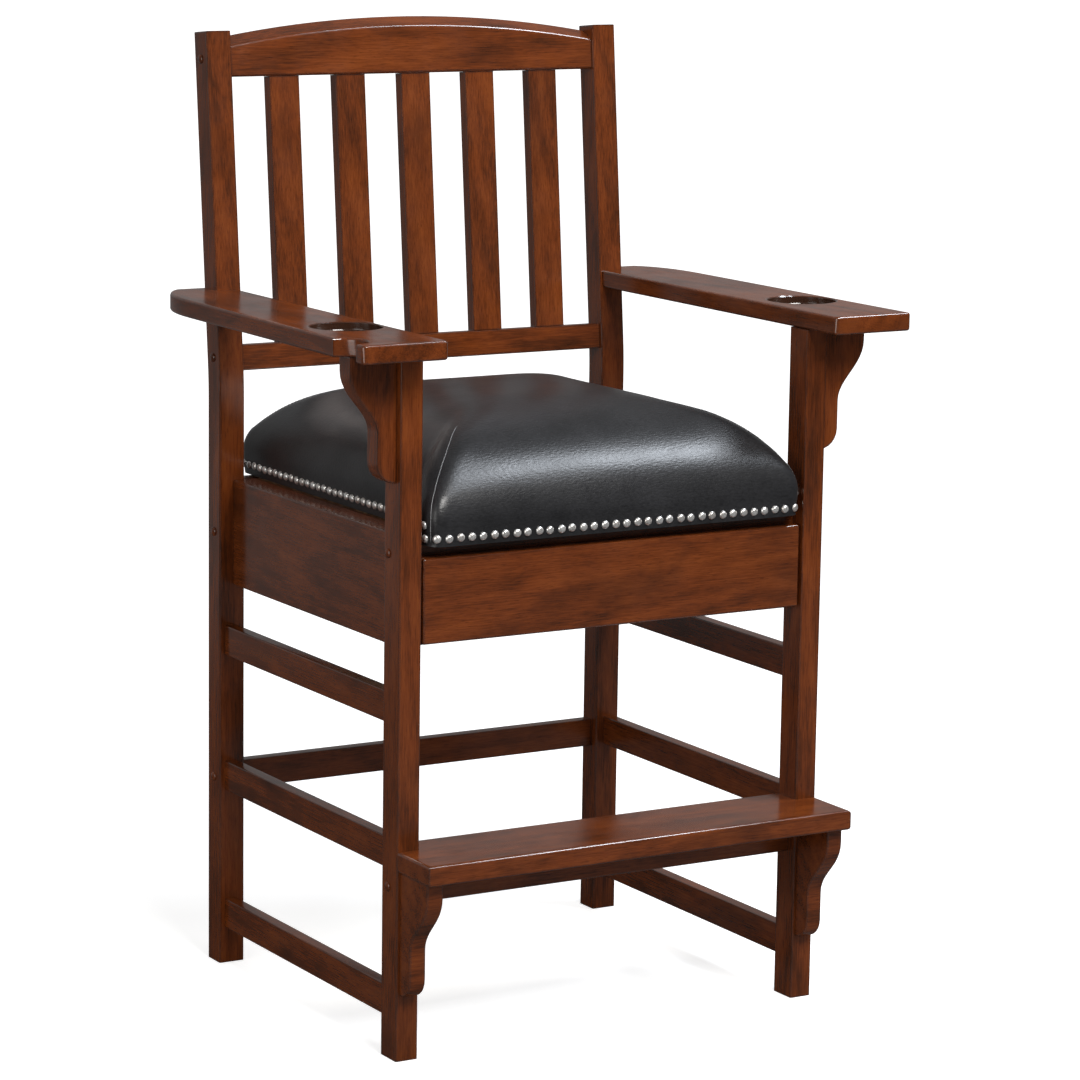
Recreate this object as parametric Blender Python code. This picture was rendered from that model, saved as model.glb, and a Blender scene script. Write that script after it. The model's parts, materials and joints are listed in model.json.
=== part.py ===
"""Bar height chair: a hardwood frame, a crowned leather seat over a drawer, and wide arms with cup recesses.

Metres, +Z up. The chair faces -Y and stands on Z = 0, with the origin under the middle of its bounding box.
Left and right are as seen by someone who faces the chair. Depths run back from the front legs' front faces.
"""

import math
from collections import defaultdict

import bmesh
import bpy
from mathutils import Matrix, Vector

# Fit
CLEARANCE = 0.0003
SLIDE_PLAY = 0.0005

# Legs
LEG_SPREAD = 0.591
REAR_LEG_PROUD = 0.001
LEG_PITCH = 0.4705
FRONT_LEG_WIDTH = 0.0295
FRONT_LEG_DEPTH = 0.0385
REAR_LEG_WIDTH = 0.0345
REAR_LEG_DEPTH = 0.0345
BACK_RISE = 0.4340
BEND_DROP = 0.0032
BEND_RADIUS = 0.45
BEND_STEPS = 6
BACK_LEAN = math.radians(5.3)
LEG_EDGE = 0.0022
SIDES = (("left", -1), ("right", 1))

# Back, with heights measured up the lean from the bend
LOWER_RAIL_FOOT = 0.0131
LOWER_RAIL_HEIGHT = 0.0325
LOWER_RAIL_SETBACK = 0.0045
LOWER_RAIL_THICKNESS = 0.022
CREST_DROP = 0.0569
CREST_END_HEIGHT = 0.0502
CREST_RISE = 0.0222
CREST_SETBACK = 0.003
CREST_THICKNESS = 0.023
CREST_SLOPE = math.radians(31)
CREST_ARRIS = 0.005
CREST_ARRIS_STEPS = 5
CREST_TENON_DROP = 0.0075
CREST_STATIONS = 20
SLAT_COUNT = 5
SLAT_END_GAP = 0.0534
SLAT_WIDTH = 0.0424
SLAT_SETBACK = 0.0057
SLAT_THICKNESS = 0.0165

# Arms
ARM_RISE = 0.1113
ARM_THICKNESS = 0.0223
ARM_OVERHANG = 0.060
ARM_FRONT_WIDTH = 0.111
ARM_REAR_WIDTH = 0.1055
ARM_REAR_LENGTH = 0.115
ARM_REAR_TAPER = 0.036
ARM_EDGE = 0.003
ARM_CORNER = 0.006
CORNER_STEPS = 3
CORNER_PULL_SHARE = 0.55
ARM_SWEEP_STEPS = 8
CUP_RADIUS = 0.043
CUP_DEPTH = 0.012
CUP_COVE = 0.004
CUP_COVE_STEPS = 3
CUP_SIDES = 40
CUP_SETBACK = 0.103
CUP_WALL = {"left": 0.004, "right": 0.017}
REST_RADIUS = 0.0285
REST_SETBACK = -0.0126
REST_STEPS = 14

# Brackets under the arms and the footrest
BRACKET_LENGTH = 0.1505
BRACKET_LIP = 0.018
BRACKET_WAIST = 0.0248
BRACKET_CURVE_SHARES = (0.33, 0.43, 0.60)
BRACKET_CURVE_STEPS = 12
BRACKET_FOOT_STEPS = 6
ARM_BRACKET_REACH = 0.0615
ARM_BRACKET_SETBACK = 0.0092
ARM_BRACKET_THICKNESS = 0.0276
FOOT_BRACKET_REACH = 0.0655
FOOT_BRACKET_THICKNESS = 0.022
BRACKET_EDGE = 0.0025

# Seat frame
APRON_TOP = 0.6259
APRON_HEIGHT = 0.1342
APRON_SETBACK = 0.0175
APRON_THICKNESS = 0.040
APRON_TENON_HEIGHT = 0.056
REAR_APRON_THICKNESS = 0.020
REAR_APRON_SETBACK = 0.0065
SEAT_RAIL_DROP = 0.0039
SEAT_RAIL_HEIGHT = 0.030
SEAT_RAIL_SETBACK = 0.0205
SEAT_RAIL_THICKNESS = 0.016
CORNER_BLOCK_LEG = 0.055
CORNER_BLOCK_SPACE = 0.0054

# Stretchers
SIDE_STRETCHER_SETBACK = 0.0058
STRETCHER_THICKNESS = 0.0162
STRETCHER_HEIGHT = 0.0385
LOWER_STRETCHER_FOOT = 0.0465
MIDDLE_STRETCHER_SHARE = 0.508
UPPER_STRETCHER_GAP = 0.0507
REAR_STRETCHER_FOOT = 0.2235
REAR_STRETCHER_HEIGHT = 0.037
REAR_STRETCHER_SETBACK = 0.0125
FRONT_STRETCHER_HEIGHT = 0.0435
FRONT_STRETCHER_SETBACK = 0.013
FRONT_STRETCHER_THICKNESS = 0.020
RAIL_EDGE = 0.0018
TENON_THICKNESS = 0.008
TENON_SHOULDER = 0.004
TENON_LENGTH = 0.0135
CROSS_TENON_SHARE = 0.32
SLAT_TENON_LENGTH = 0.010

# Footrest
FOOTREST_TOP = 0.2558
FOOTREST_THICKNESS = 0.025
FOOTREST_OVERHANG = 0.078
FOOTREST_TONGUE = 0.0405
FOOTREST_EDGE = 0.004

# Seat
BOARD_THICKNESS = 0.016
BOARD_INSET = 0.004
SEAT_SIDE_SPACE = 0.017
SEAT_FRONT_SPACE = 0.0075
SEAT_FRONT_OVERHANG = 0.010
SEAT_REAR_OVERHANG = 0.017
SEAT_CORNER = 0.016
SEAT_SIDE_GAP = 0.0016
SEAT_SKIRT_DROP = 0.0099
SEAT_SHOULDER_RISE = 0.0378
SEAT_CROWN = 0.0895
SEAT_SIDE_LIFT = 0.0116
SEAT_LIFT_REACH = 0.15
SEAT_FULLNESS_POWERS = (5.4, 4.5)
SEAT_CORNER_POWERS = (3.16, 2.6)
SEAT_ROUNDING_POWER = 1.35
SEAT_DRAW_IN = 0.002
SEAT_POINTS_PER_SIDE = 10
SEAT_POINTS_PER_CORNER = 4
SEAT_WALL_SHARES = (0.0, 0.25, 0.5, 0.75, 1.0)
SEAT_BULGE_SHARES = (-1.0, -0.5, 0.0, 0.5, 0.0)
SEAT_CROWN_SHARES = (0.012, 0.03, 0.06, 0.10, 0.16, 0.24, 0.34, 0.48, 0.66, 0.84)

# Drawer
DRAWER_FRONT_GAP = 0.0142
DRAWER_FRONT_HEIGHT = 0.1023
DRAWER_FRONT_THICKNESS = 0.018
DRAWER_FRONT_SETBACK = 0.0015
DRAWER_FRONT_PLAY = 0.003
DRAWER_EDGE = 0.003
DRAWER_TOP_SPACE = 0.007
DRAWER_BOX_HEIGHT = 0.0725
DRAWER_REAR_SPACE = 0.0575
DRAWER_SIDE_PLAY = 0.0015
DRAWER_SIDE_THICKNESS = 0.014
DRAWER_BACK_THICKNESS = 0.012
DRAWER_BOTTOM_THICKNESS = 0.005
DRAWER_BOTTOM_RISE = 0.0045
DRAWER_GROOVE = 0.004
RUNNER_HEIGHT = 0.014
RUNNER_DEPTH = 0.0065
RUNNER_REAR_SPACE = 0.0325
RUNNER_RISE = 0.0285

# Plugs over the bolts
PLUG_HEAD_RADIUS = 0.006
PLUG_DOME = 0.0028
PLUG_STEM_RADIUS = 0.0045
PLUG_STEM_LENGTH = 0.006
PLUG_SIDES = 14
PLUG_DOME_STEPS = 4

# Places worked out from the sizes above
LEG_FACE = LEG_SPREAD / 2
REAR_LEG_FACE = LEG_FACE + REAR_LEG_PROUD
FRONT_LEG_INNER = LEG_FACE - FRONT_LEG_WIDTH
REAR_LEG_INNER = REAR_LEG_FACE - REAR_LEG_WIDTH
APRON_FACE = LEG_FACE - APRON_SETBACK
APRON_INNER = APRON_FACE - APRON_THICKNESS
APRON_FOOT = APRON_TOP - APRON_HEIGHT
REAR_APRON_FRONT = LEG_PITCH + REAR_APRON_SETBACK
SEAT_RAIL_TOP = APRON_TOP - SEAT_RAIL_DROP
SEAT_RAIL_FOOT = SEAT_RAIL_TOP - SEAT_RAIL_HEIGHT
SEAT_RAIL_BACK = SEAT_RAIL_SETBACK + SEAT_RAIL_THICKNESS
UPPER_STRETCHER_FOOT = APRON_FOOT - UPPER_STRETCHER_GAP - STRETCHER_HEIGHT
MIDDLE_STRETCHER_RISE = (UPPER_STRETCHER_FOOT - LOWER_STRETCHER_FOOT) * MIDDLE_STRETCHER_SHARE
SIDE_STRETCHER_FEET = {
    "lower": LOWER_STRETCHER_FOOT,
    "middle": LOWER_STRETCHER_FOOT + MIDDLE_STRETCHER_RISE,
    "upper": UPPER_STRETCHER_FOOT,
}
FRONT_CROSS_TENON = FRONT_LEG_WIDTH * CROSS_TENON_SHARE
REAR_CROSS_TENON = REAR_LEG_WIDTH * CROSS_TENON_SHARE
FOOTREST_FOOT = FOOTREST_TOP - FOOTREST_THICKNESS
BOARD_FOOT = APRON_TOP + CLEARANCE
SEAT_HALF_WIDTH = REAR_LEG_INNER - SEAT_SIDE_SPACE
SEAT_WING = FRONT_LEG_INNER - SEAT_FRONT_SPACE - SEAT_HALF_WIDTH
SEAT_BACK = LEG_PITCH + REAR_LEG_DEPTH + SEAT_REAR_OVERHANG
SEAT_SKIRT_FOOT = APRON_TOP - SEAT_SKIRT_DROP
SEAT_SHOULDER = APRON_TOP + SEAT_SHOULDER_RISE
SEAT_TOP = SEAT_SHOULDER + SEAT_CROWN
BEND_HEIGHT = SEAT_TOP - BEND_DROP
ARM_TOP = SEAT_TOP + ARM_RISE
ARM_FOOT = ARM_TOP - ARM_THICKNESS
REAR_LEG_HEIGHT = BEND_HEIGHT + BACK_RISE
REAR_TOP_FRONT = LEG_PITCH + BACK_RISE * math.tan(BACK_LEAN)
REAR_TOP = REAR_TOP_FRONT + REAR_LEG_DEPTH * math.cos(BACK_LEAN)
REAR_TOP_HEIGHT = REAR_LEG_HEIGHT - REAR_LEG_DEPTH * math.sin(BACK_LEAN)
CREST_FOOT = BACK_RISE / math.cos(BACK_LEAN) - CREST_DROP
SLAT_PITCH = (2 * (REAR_LEG_INNER - SLAT_END_GAP) - SLAT_WIDTH) / (SLAT_COUNT - 1)
DRAWER_FRONT_TOP = SEAT_SKIRT_FOOT - DRAWER_FRONT_GAP
DRAWER_FRONT_BACK = DRAWER_FRONT_SETBACK + DRAWER_FRONT_THICKNESS
DRAWER_BOX_TOP = SEAT_RAIL_FOOT - DRAWER_TOP_SPACE
DRAWER_BOX_FOOT = DRAWER_BOX_TOP - DRAWER_BOX_HEIGHT
DRAWER_BOX_REAR = REAR_APRON_FRONT - DRAWER_REAR_SPACE
DRAWER_SIDE_FACE = APRON_INNER - DRAWER_SIDE_PLAY
DRAWER_SIDE_INNER = DRAWER_SIDE_FACE - DRAWER_SIDE_THICKNESS
CHAIR_MIDDLE = (REAR_TOP - FOOTREST_OVERHANG) / 2

# Boxes that each piece must be cut out for, by the piece's name
sockets = defaultdict(list)


def clear_scene():
    for item in list(bpy.data.objects):
        bpy.data.objects.remove(item, do_unlink=True)


def finish(name, colour, roughness, metallic=0.0):
    material = bpy.data.materials.new(name)
    material.use_nodes = True
    shader = material.node_tree.nodes["Principled BSDF"]
    shader.inputs["Base Color"].default_value = (*colour, 1.0)
    shader.inputs["Roughness"].default_value = roughness
    shader.inputs["Metallic"].default_value = metallic
    return material


def make_finishes():
    return {
        "cherry": finish("cherry_lacquer", (0.115, 0.030, 0.013), 0.25),
        "dark_cherry": finish("cherry_lacquer_in_shade", (0.055, 0.017, 0.009), 0.30),
        "leather": finish("black_leather", (0.020, 0.020, 0.024), 0.42),
        "birch": finish("sealed_birch", (0.52, 0.37, 0.22), 0.50),
        "plywood": finish("seat_plywood", (0.42, 0.30, 0.18), 0.70),
    }


def empty(name, location, parent=None, rotation=(0.0, 0.0, 0.0)):
    item = bpy.data.objects.new(name, None)
    item.location = location
    item.rotation_euler = rotation
    item.parent = parent
    bpy.context.collection.objects.link(item)
    return item


def add_object(name, bm, material, parent, centre):
    """Turns a bmesh into an object whose origin is its own centre."""
    bmesh.ops.translate(bm, vec=-Vector(centre), verts=bm.verts)
    bmesh.ops.recalc_face_normals(bm, faces=bm.faces)
    mesh = bpy.data.meshes.new(name)
    bm.to_mesh(mesh)
    bm.free()
    item = bpy.data.objects.new(name, mesh)
    item.location = centre
    item.parent = parent
    bpy.context.collection.objects.link(item)
    if material:
        mesh.materials.append(material)
    return item


def hide_cutter(item):
    item.hide_render = True
    item.display_type = "WIRE"
    return item


def combine(item, tool, operation):
    modifier = item.modifiers.new(tool.name, "BOOLEAN")
    modifier.operation = operation
    modifier.solver = "EXACT"
    modifier.object = tool
    return modifier


def soften(item, width, segments=2):
    """Rounds the edges that carry a bevel weight."""
    modifier = item.modifiers.new("soft_edges", "BEVEL")
    modifier.limit_method = "WEIGHT"
    modifier.width = width
    modifier.segments = segments
    modifier.use_clamp_overlap = False


def weigh(bm, chosen):
    layer = bm.edges.layers.float.new("bevel_weight_edge")
    for edge in bm.edges:
        if chosen(edge):
            edge[layer] = 1.0


def add_box(bm, low, high, matrix=None):
    size = Vector(high) - Vector(low)
    middle = (Vector(high) + Vector(low)) / 2
    place = Matrix.Translation(middle) @ Matrix.Diagonal((*size, 1.0))
    bmesh.ops.create_cube(bm, size=1.0, matrix=(matrix or Matrix.Identity(4)) @ place)


def sided(sign, low, high):
    """A box given for the right side, or its mirror image on the left side."""
    if sign > 0:
        return low, high
    return (-high[0], low[1], low[2]), (-low[0], high[1], high[2])


def raise_tenon(bm, axis, side, low, high, length):
    """Draws a tenon of the given section out of a box's end face, with shoulders round it."""
    face = max(bm.faces, key=lambda f: side * f.calc_center_median()[axis])
    ring = list(face.verts)
    inner = []
    for vert in ring:
        corner = [min(max(value, low[i]), high[i]) for i, value in enumerate(vert.co)]
        corner[axis] = vert.co[axis]
        inner.append(bm.verts.new(corner))
    step = Vector((0.0, 0.0, 0.0))
    step[axis] = side * length
    tip = [bm.verts.new(vert.co + step) for vert in inner]
    bm.faces.remove(face)
    for i in range(len(ring)):
        j = (i + 1) % len(ring)
        bm.faces.new((ring[i], ring[j], inner[j], inner[i]))
        bm.faces.new((inner[i], inner[j], tip[j], tip[i]))
    bm.faces.new(tip)


def note_socket(receiver, axis, side, face, low, high, length, matrix=None):
    """Stores the mortise for a tenon: its box grown by the clearance, from the shoulder to past its tip."""
    grown_low = [value - CLEARANCE for value in low]
    grown_high = [value + CLEARANCE for value in high]
    near = face - side * CLEARANCE * 4
    far = face + side * (length + CLEARANCE * 2)
    grown_low[axis] = min(near, far)
    grown_high[axis] = max(near, far)
    sockets[receiver].append((grown_low, grown_high, matrix))


def cut_sockets(item, parent):
    boxes = sockets[item.name]
    if not boxes:
        return
    bm = bmesh.new()
    for low, high, matrix in boxes:
        add_box(bm, low, high, matrix)
    cutter = hide_cutter(add_object(item.name + "_mortises", bm, None, parent, (0.0, 0.0, 0.0)))
    combine(item, cutter, "DIFFERENCE").use_self = True


def tenoned_bar(
    name, low, high, axis, section, receivers, material, parent, length=TENON_LENGTH, matrix=None
):
    """A rail along one axis with a tenon at each end. The two receiving pieces are noted for mortises."""
    ends = (low[axis] + CLEARANCE, high[axis] - CLEARANCE)
    low = list(low)
    high = list(high)
    low[axis], high[axis] = ends
    bm = bmesh.new()
    add_box(bm, low, high)
    weigh(bm, lambda edge: abs(edge.verts[0].co[axis] - edge.verts[1].co[axis]) > TENON_SHOULDER)
    for side, receiver in zip((-1, 1), receivers):
        raise_tenon(bm, axis, side, section[0], section[1], length)
        face = ends[0] if side < 0 else ends[1]
        note_socket(receiver, axis, side, face, section[0], section[1], length, matrix)
    item = add_object(name, bm, material, parent, [(a + b) / 2 for a, b in zip(low, high)])
    soften(item, RAIL_EDGE)
    return item


def shrink(low, high, axis, thickness_axis, thickness=TENON_THICKNESS, shoulder=TENON_SHOULDER):
    """The section of a centred tenon inside a rail's section."""
    section_low = [value + shoulder for value in low]
    section_high = [value - shoulder for value in high]
    middle = (low[thickness_axis] + high[thickness_axis]) / 2
    section_low[thickness_axis] = middle - thickness / 2
    section_high[thickness_axis] = middle + thickness / 2
    section_low[axis] = low[axis]
    section_high[axis] = high[axis]
    return section_low, section_high


def plain_block(name, low, high, material, parent, edge=RAIL_EDGE, segments=1):
    bm = bmesh.new()
    add_box(bm, low, high)
    item = add_object(name, bm, material, parent, [(a + b) / 2 for a, b in zip(low, high)])
    if edge:
        modifier = item.modifiers.new("soft_edges", "BEVEL")
        modifier.width = edge
        modifier.segments = segments
    return item


def prism(name, outline, axis, low, high, material, parent, soft=None):
    """Extrudes an outline along one axis. soft picks, by their middles, the edges that are rounded."""
    others = [i for i in range(3) if i != axis]
    bm = bmesh.new()

    def corner(point, height):
        place = [0.0, 0.0, 0.0]
        place[others[0]], place[others[1]] = point
        place[axis] = height
        return bm.verts.new(place)

    face = bm.faces.new([corner(point, low) for point in outline])
    grown = bmesh.ops.extrude_face_region(bm, geom=[face])
    moved = [item for item in grown["geom"] if isinstance(item, bmesh.types.BMVert)]
    step = Vector((0.0, 0.0, 0.0))
    step[axis] = high - low
    bmesh.ops.translate(bm, vec=step, verts=moved)
    if soft:
        weigh(bm, lambda edge: edge_is_flat(edge, axis) and soft(middle_of(edge)))
    centre = [sum(vert.co[i] for vert in bm.verts) / len(bm.verts) for i in range(3)]
    return add_object(name, bm, material, parent, centre)


def middle_of(edge):
    return (edge.verts[0].co + edge.verts[1].co) / 2


def edge_is_flat(edge, axis):
    return abs(edge.verts[0].co[axis] - edge.verts[1].co[axis]) < CLEARANCE


def arc(centre, radius, start, stop, steps):
    """Points on an arc, angles in degrees."""
    points = []
    for i in range(steps + 1):
        angle = math.radians(start + (stop - start) * i / steps)
        points.append((centre[0] + radius * math.cos(angle), centre[1] + radius * math.sin(angle)))
    return points


def bezier(a, b, c, d, steps):
    """Points on a cubic curve, both ends included."""
    points = []
    for i in range(steps + 1):
        t = i / steps
        weights = ((1 - t) ** 3, 3 * t * (1 - t) ** 2, 3 * t * t * (1 - t), t ** 3)
        points.append(tuple(sum(w * p[k] for w, p in zip(weights, (a, b, c, d))) for k in range(2)))
    return points


def turned(profile, sides, axis_matrix):
    """A solid of revolution about local Z from (radius, height) points that start and end on the axis."""
    bm = bmesh.new()
    verts = [bm.verts.new((radius, 0.0, height)) for radius, height in profile]
    edges = [bm.edges.new(pair) for pair in zip(verts, verts[1:])]
    turn = 2 * math.pi
    bmesh.ops.spin(bm, geom=verts + edges, cent=(0, 0, 0), axis=(0, 0, 1), angle=turn, steps=sides)
    bmesh.ops.remove_doubles(bm, verts=bm.verts, dist=CLEARANCE / 10)
    bmesh.ops.transform(bm, matrix=axis_matrix, verts=bm.verts)
    return bm


# Stretchers, rails and aprons


def build_side_rails(finishes, chair):
    """Three stretchers and the deep apron on each side, tenoned between a front leg and a rear leg."""
    for side, sign in SIDES:
        legs = ("front_leg_" + side, "rear_leg_" + side)
        outer = LEG_FACE - SIDE_STRETCHER_SETBACK
        for level, foot in SIDE_STRETCHER_FEET.items():
            low, high = sided(
                sign,
                (outer - STRETCHER_THICKNESS, FRONT_LEG_DEPTH, foot),
                (outer, LEG_PITCH, foot + STRETCHER_HEIGHT),
            )
            name = level + "_side_stretcher_" + side
            tenoned_bar(name, low, high, 1, shrink(low, high, 1, 0), legs, finishes["cherry"], chair)
        low, high = sided(
            sign, (APRON_INNER, FRONT_LEG_DEPTH, APRON_FOOT), (APRON_FACE, LEG_PITCH, APRON_TOP)
        )
        tenon_face = APRON_FACE - RAIL_EDGE - CLEARANCE
        section = sided(
            sign,
            (tenon_face - TENON_THICKNESS, low[1], APRON_FOOT + 2 * TENON_SHOULDER),
            (tenon_face, high[1], APRON_FOOT + 2 * TENON_SHOULDER + APRON_TENON_HEIGHT),
        )
        tenoned_bar("side_apron_" + side, low, high, 1, section, legs, finishes["cherry"], chair)


def build_cross_rails(finishes, chair):
    """Rails that run across the chair between the two front legs or the two rear legs."""
    front = ("front_leg_left", "front_leg_right")
    rear = ("rear_leg_left", "rear_leg_right")
    low = (-FRONT_LEG_INNER, SEAT_RAIL_SETBACK, SEAT_RAIL_FOOT)
    high = (FRONT_LEG_INNER, SEAT_RAIL_BACK, SEAT_RAIL_TOP)
    section = shrink(low, high, 0, 1)
    dark = finishes["dark_cherry"]
    tenoned_bar("front_seat_rail", low, high, 0, section, front, dark, chair, FRONT_CROSS_TENON)

    top = FOOTREST_FOOT - CLEARANCE
    low = (-FRONT_LEG_INNER, FRONT_STRETCHER_SETBACK, top - FRONT_STRETCHER_HEIGHT)
    high = (FRONT_LEG_INNER, FRONT_STRETCHER_SETBACK + FRONT_STRETCHER_THICKNESS, top)
    section = shrink(low, high, 0, 1)
    wood = finishes["cherry"]
    tenoned_bar("front_stretcher", low, high, 0, section, front, wood, chair, FRONT_CROSS_TENON)

    low = (-REAR_LEG_INNER, LEG_PITCH + REAR_STRETCHER_SETBACK, REAR_STRETCHER_FOOT)
    high = (REAR_LEG_INNER, low[1] + STRETCHER_THICKNESS, REAR_STRETCHER_FOOT + REAR_STRETCHER_HEIGHT)
    section = shrink(low, high, 0, 1)
    tenoned_bar("rear_stretcher", low, high, 0, section, rear, wood, chair, REAR_CROSS_TENON)

    low = (-REAR_LEG_INNER, REAR_APRON_FRONT, APRON_FOOT)
    high = (REAR_LEG_INNER, REAR_APRON_FRONT + REAR_APRON_THICKNESS, APRON_TOP)
    section = shrink(low, high, 0, 1)
    section[0][2] = APRON_FOOT + 4 * TENON_SHOULDER + APRON_TENON_HEIGHT
    tenoned_bar("rear_apron", low, high, 0, section, rear, dark, chair, REAR_CROSS_TENON)


def build_corner_blocks(finishes, chair):
    """Triangular blocks in the corners of the seat frame, level with the aprons' top edges."""
    foot = DRAWER_BOX_TOP + CORNER_BLOCK_SPACE
    for side, sign in SIDES:
        corner_x = APRON_INNER - CLEARANCE
        for end, corner_y, turn in (
            ("front", SEAT_RAIL_BACK + CLEARANCE, 1),
            ("rear", REAR_APRON_FRONT - CLEARANCE, -1),
        ):
            outline = [
                (sign * corner_x, corner_y),
                (sign * (corner_x - CORNER_BLOCK_LEG), corner_y),
                (sign * corner_x, corner_y + turn * CORNER_BLOCK_LEG),
            ]
            name = "corner_block_" + end + "_" + side
            prism(name, outline, 2, foot, APRON_TOP, finishes["birch"], chair)


# Back


def build_slats(finishes, back):
    foot = LOWER_RAIL_FOOT + LOWER_RAIL_HEIGHT
    for i in range(SLAT_COUNT):
        middle = (i - (SLAT_COUNT - 1) / 2) * SLAT_PITCH
        low = (middle - SLAT_WIDTH / 2, SLAT_SETBACK, foot)
        high = (middle + SLAT_WIDTH / 2, SLAT_SETBACK + SLAT_THICKNESS, CREST_FOOT)
        section = shrink(low, high, 2, 1)
        receivers = ("lower_back_rail", "crest_rail")
        name = "back_slat_" + str(i + 1)
        tenoned_bar(name, low, high, 2, section, receivers, finishes["cherry"], back, SLAT_TENON_LENGTH)


def build_lower_back_rail(finishes, back, lean):
    low = (-REAR_LEG_INNER, LOWER_RAIL_SETBACK, LOWER_RAIL_FOOT)
    high = (REAR_LEG_INNER, low[1] + LOWER_RAIL_THICKNESS, LOWER_RAIL_FOOT + LOWER_RAIL_HEIGHT)
    legs = ("rear_leg_left", "rear_leg_right")
    section = shrink(low, high, 0, 1)
    wood = finishes["cherry"]
    name = "lower_back_rail"
    rail = tenoned_bar(name, low, high, 0, section, legs, wood, back, REAR_CROSS_TENON, lean)
    cut_sockets(rail, back)


def crest_section(top):
    """The crest rail's section at one station: a flat front, a round arris, a top that rises to the rear."""
    front = CREST_SETBACK
    rear = CREST_SETBACK + CREST_THICKNESS
    slope = 90 + math.degrees(CREST_SLOPE)
    ridge = (rear - LEG_EDGE, top - LEG_EDGE)
    fall = CREST_ARRIS - LEG_EDGE + (ridge[0] - front - CREST_ARRIS) * math.sin(CREST_SLOPE)
    arris = (front + CREST_ARRIS, ridge[1] - fall / math.cos(CREST_SLOPE))
    points = [(front + RAIL_EDGE, CREST_FOOT), (front, CREST_FOOT + RAIL_EDGE)]
    points += arc(arris, CREST_ARRIS, 180, slope, CREST_ARRIS_STEPS)
    points += arc(ridge, LEG_EDGE, slope, 0, 3)
    points += [(rear, CREST_FOOT + RAIL_EDGE), (rear - RAIL_EDGE, CREST_FOOT)]
    return points


def build_crest_rail(finishes, back, lean):
    """An arched rail lofted through equal stations. A tongue through it makes the tenons at its ends."""
    half = REAR_LEG_INNER - CLEARANCE
    arch_radius = (REAR_LEG_INNER ** 2 + CREST_RISE ** 2) / (2 * CREST_RISE)
    bm = bmesh.new()
    rings = []
    for i in range(CREST_STATIONS + 1):
        x = half * (2 * i / CREST_STATIONS - 1)
        rise = math.sqrt(arch_radius ** 2 - x ** 2) - (arch_radius - CREST_RISE)
        section = crest_section(CREST_FOOT + CREST_END_HEIGHT + rise)
        rings.append([bm.verts.new((x, y, z)) for y, z in section])
    for a, b in zip(rings, rings[1:]):
        for i in range(len(a)):
            j = (i + 1) % len(a)
            bm.faces.new((a[i], b[i], b[j], a[j]))
    bm.faces.new(rings[0])
    bm.faces.new(list(reversed(rings[-1])))
    crest = add_object("crest_rail", bm, finishes["cherry"], back, (0.0, CREST_SETBACK, CREST_FOOT))

    low = (-half, CREST_SETBACK, CREST_FOOT)
    high = (half, CREST_SETBACK + CREST_THICKNESS, CREST_FOOT + CREST_END_HEIGHT - CREST_TENON_DROP)
    thin_low, thin_high = shrink(low, high, 0, 1)
    for side, sign in SIDES:
        receiver = "rear_leg_" + side
        note_socket(receiver, 0, sign, sign * half, thin_low, thin_high, REAR_CROSS_TENON, lean)
    tongue = bmesh.new()
    reach = half + REAR_CROSS_TENON
    add_box(tongue, (-reach, thin_low[1], thin_low[2]), (reach, thin_high[1], thin_high[2]))
    middle = (0.0, CREST_SETBACK, CREST_FOOT)
    combine(crest, hide_cutter(add_object("crest_tongue", tongue, None, back, middle)), "UNION")
    cut_sockets(crest, back)


# Legs


def build_front_legs(finishes, chair):
    top = ARM_FOOT - CLEARANCE
    for side, sign in SIDES:
        name = "front_leg_" + side
        low, high = sided(sign, (FRONT_LEG_INNER, 0.0, 0.0), (LEG_FACE, FRONT_LEG_DEPTH, top))
        bm = bmesh.new()
        add_box(bm, low, high)
        weigh(bm, lambda edge: not edge_is_flat(edge, 2))
        section_low, section_high = shrink(low, high, 2, 0, FRONT_LEG_WIDTH / 2, 2 * TENON_SHOULDER)
        stub = ARM_THICKNESS / 2
        raise_tenon(bm, 2, 1, section_low, section_high, stub)
        note_socket("arm_" + side, 2, 1, top, section_low, section_high, stub)
        leg = add_object(name, bm, finishes["cherry"], chair, [(a + b) / 2 for a, b in zip(low, high)])
        soften(leg, LEG_EDGE)
        cut_sockets(leg, chair)


def rear_leg_outline():
    """The rear leg's side view: upright, bent back round an arc, then up the lean to a square-cut top."""
    start = BEND_HEIGHT - (BEND_RADIUS + REAR_LEG_DEPTH) * math.tan(BACK_LEAN / 2)
    centre = (LEG_PITCH + REAR_LEG_DEPTH + BEND_RADIUS, start)
    lean = math.degrees(BACK_LEAN)
    front = arc(centre, BEND_RADIUS + REAR_LEG_DEPTH, 180, 180 - lean, BEND_STEPS)
    rear = arc(centre, BEND_RADIUS, 180 - lean, 180, BEND_STEPS)
    outline = [(LEG_PITCH, 0.0)] + front + [(REAR_TOP_FRONT, REAR_LEG_HEIGHT)]
    outline += [(REAR_TOP, REAR_TOP_HEIGHT)] + rear + [(LEG_PITCH + REAR_LEG_DEPTH, 0.0)]
    return outline


def build_rear_legs(finishes, chair):
    for side, sign in SIDES:
        inner, outer = sorted((sign * REAR_LEG_INNER, sign * REAR_LEG_FACE))
        leg = prism(
            "rear_leg_" + side,
            rear_leg_outline(),
            0,
            inner,
            outer,
            finishes["cherry"],
            chair,
            soft=lambda middle: middle.z > LEG_EDGE,
        )
        soften(leg, LEG_EDGE)
        cut_sockets(leg, chair)


# Arms and brackets


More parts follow.
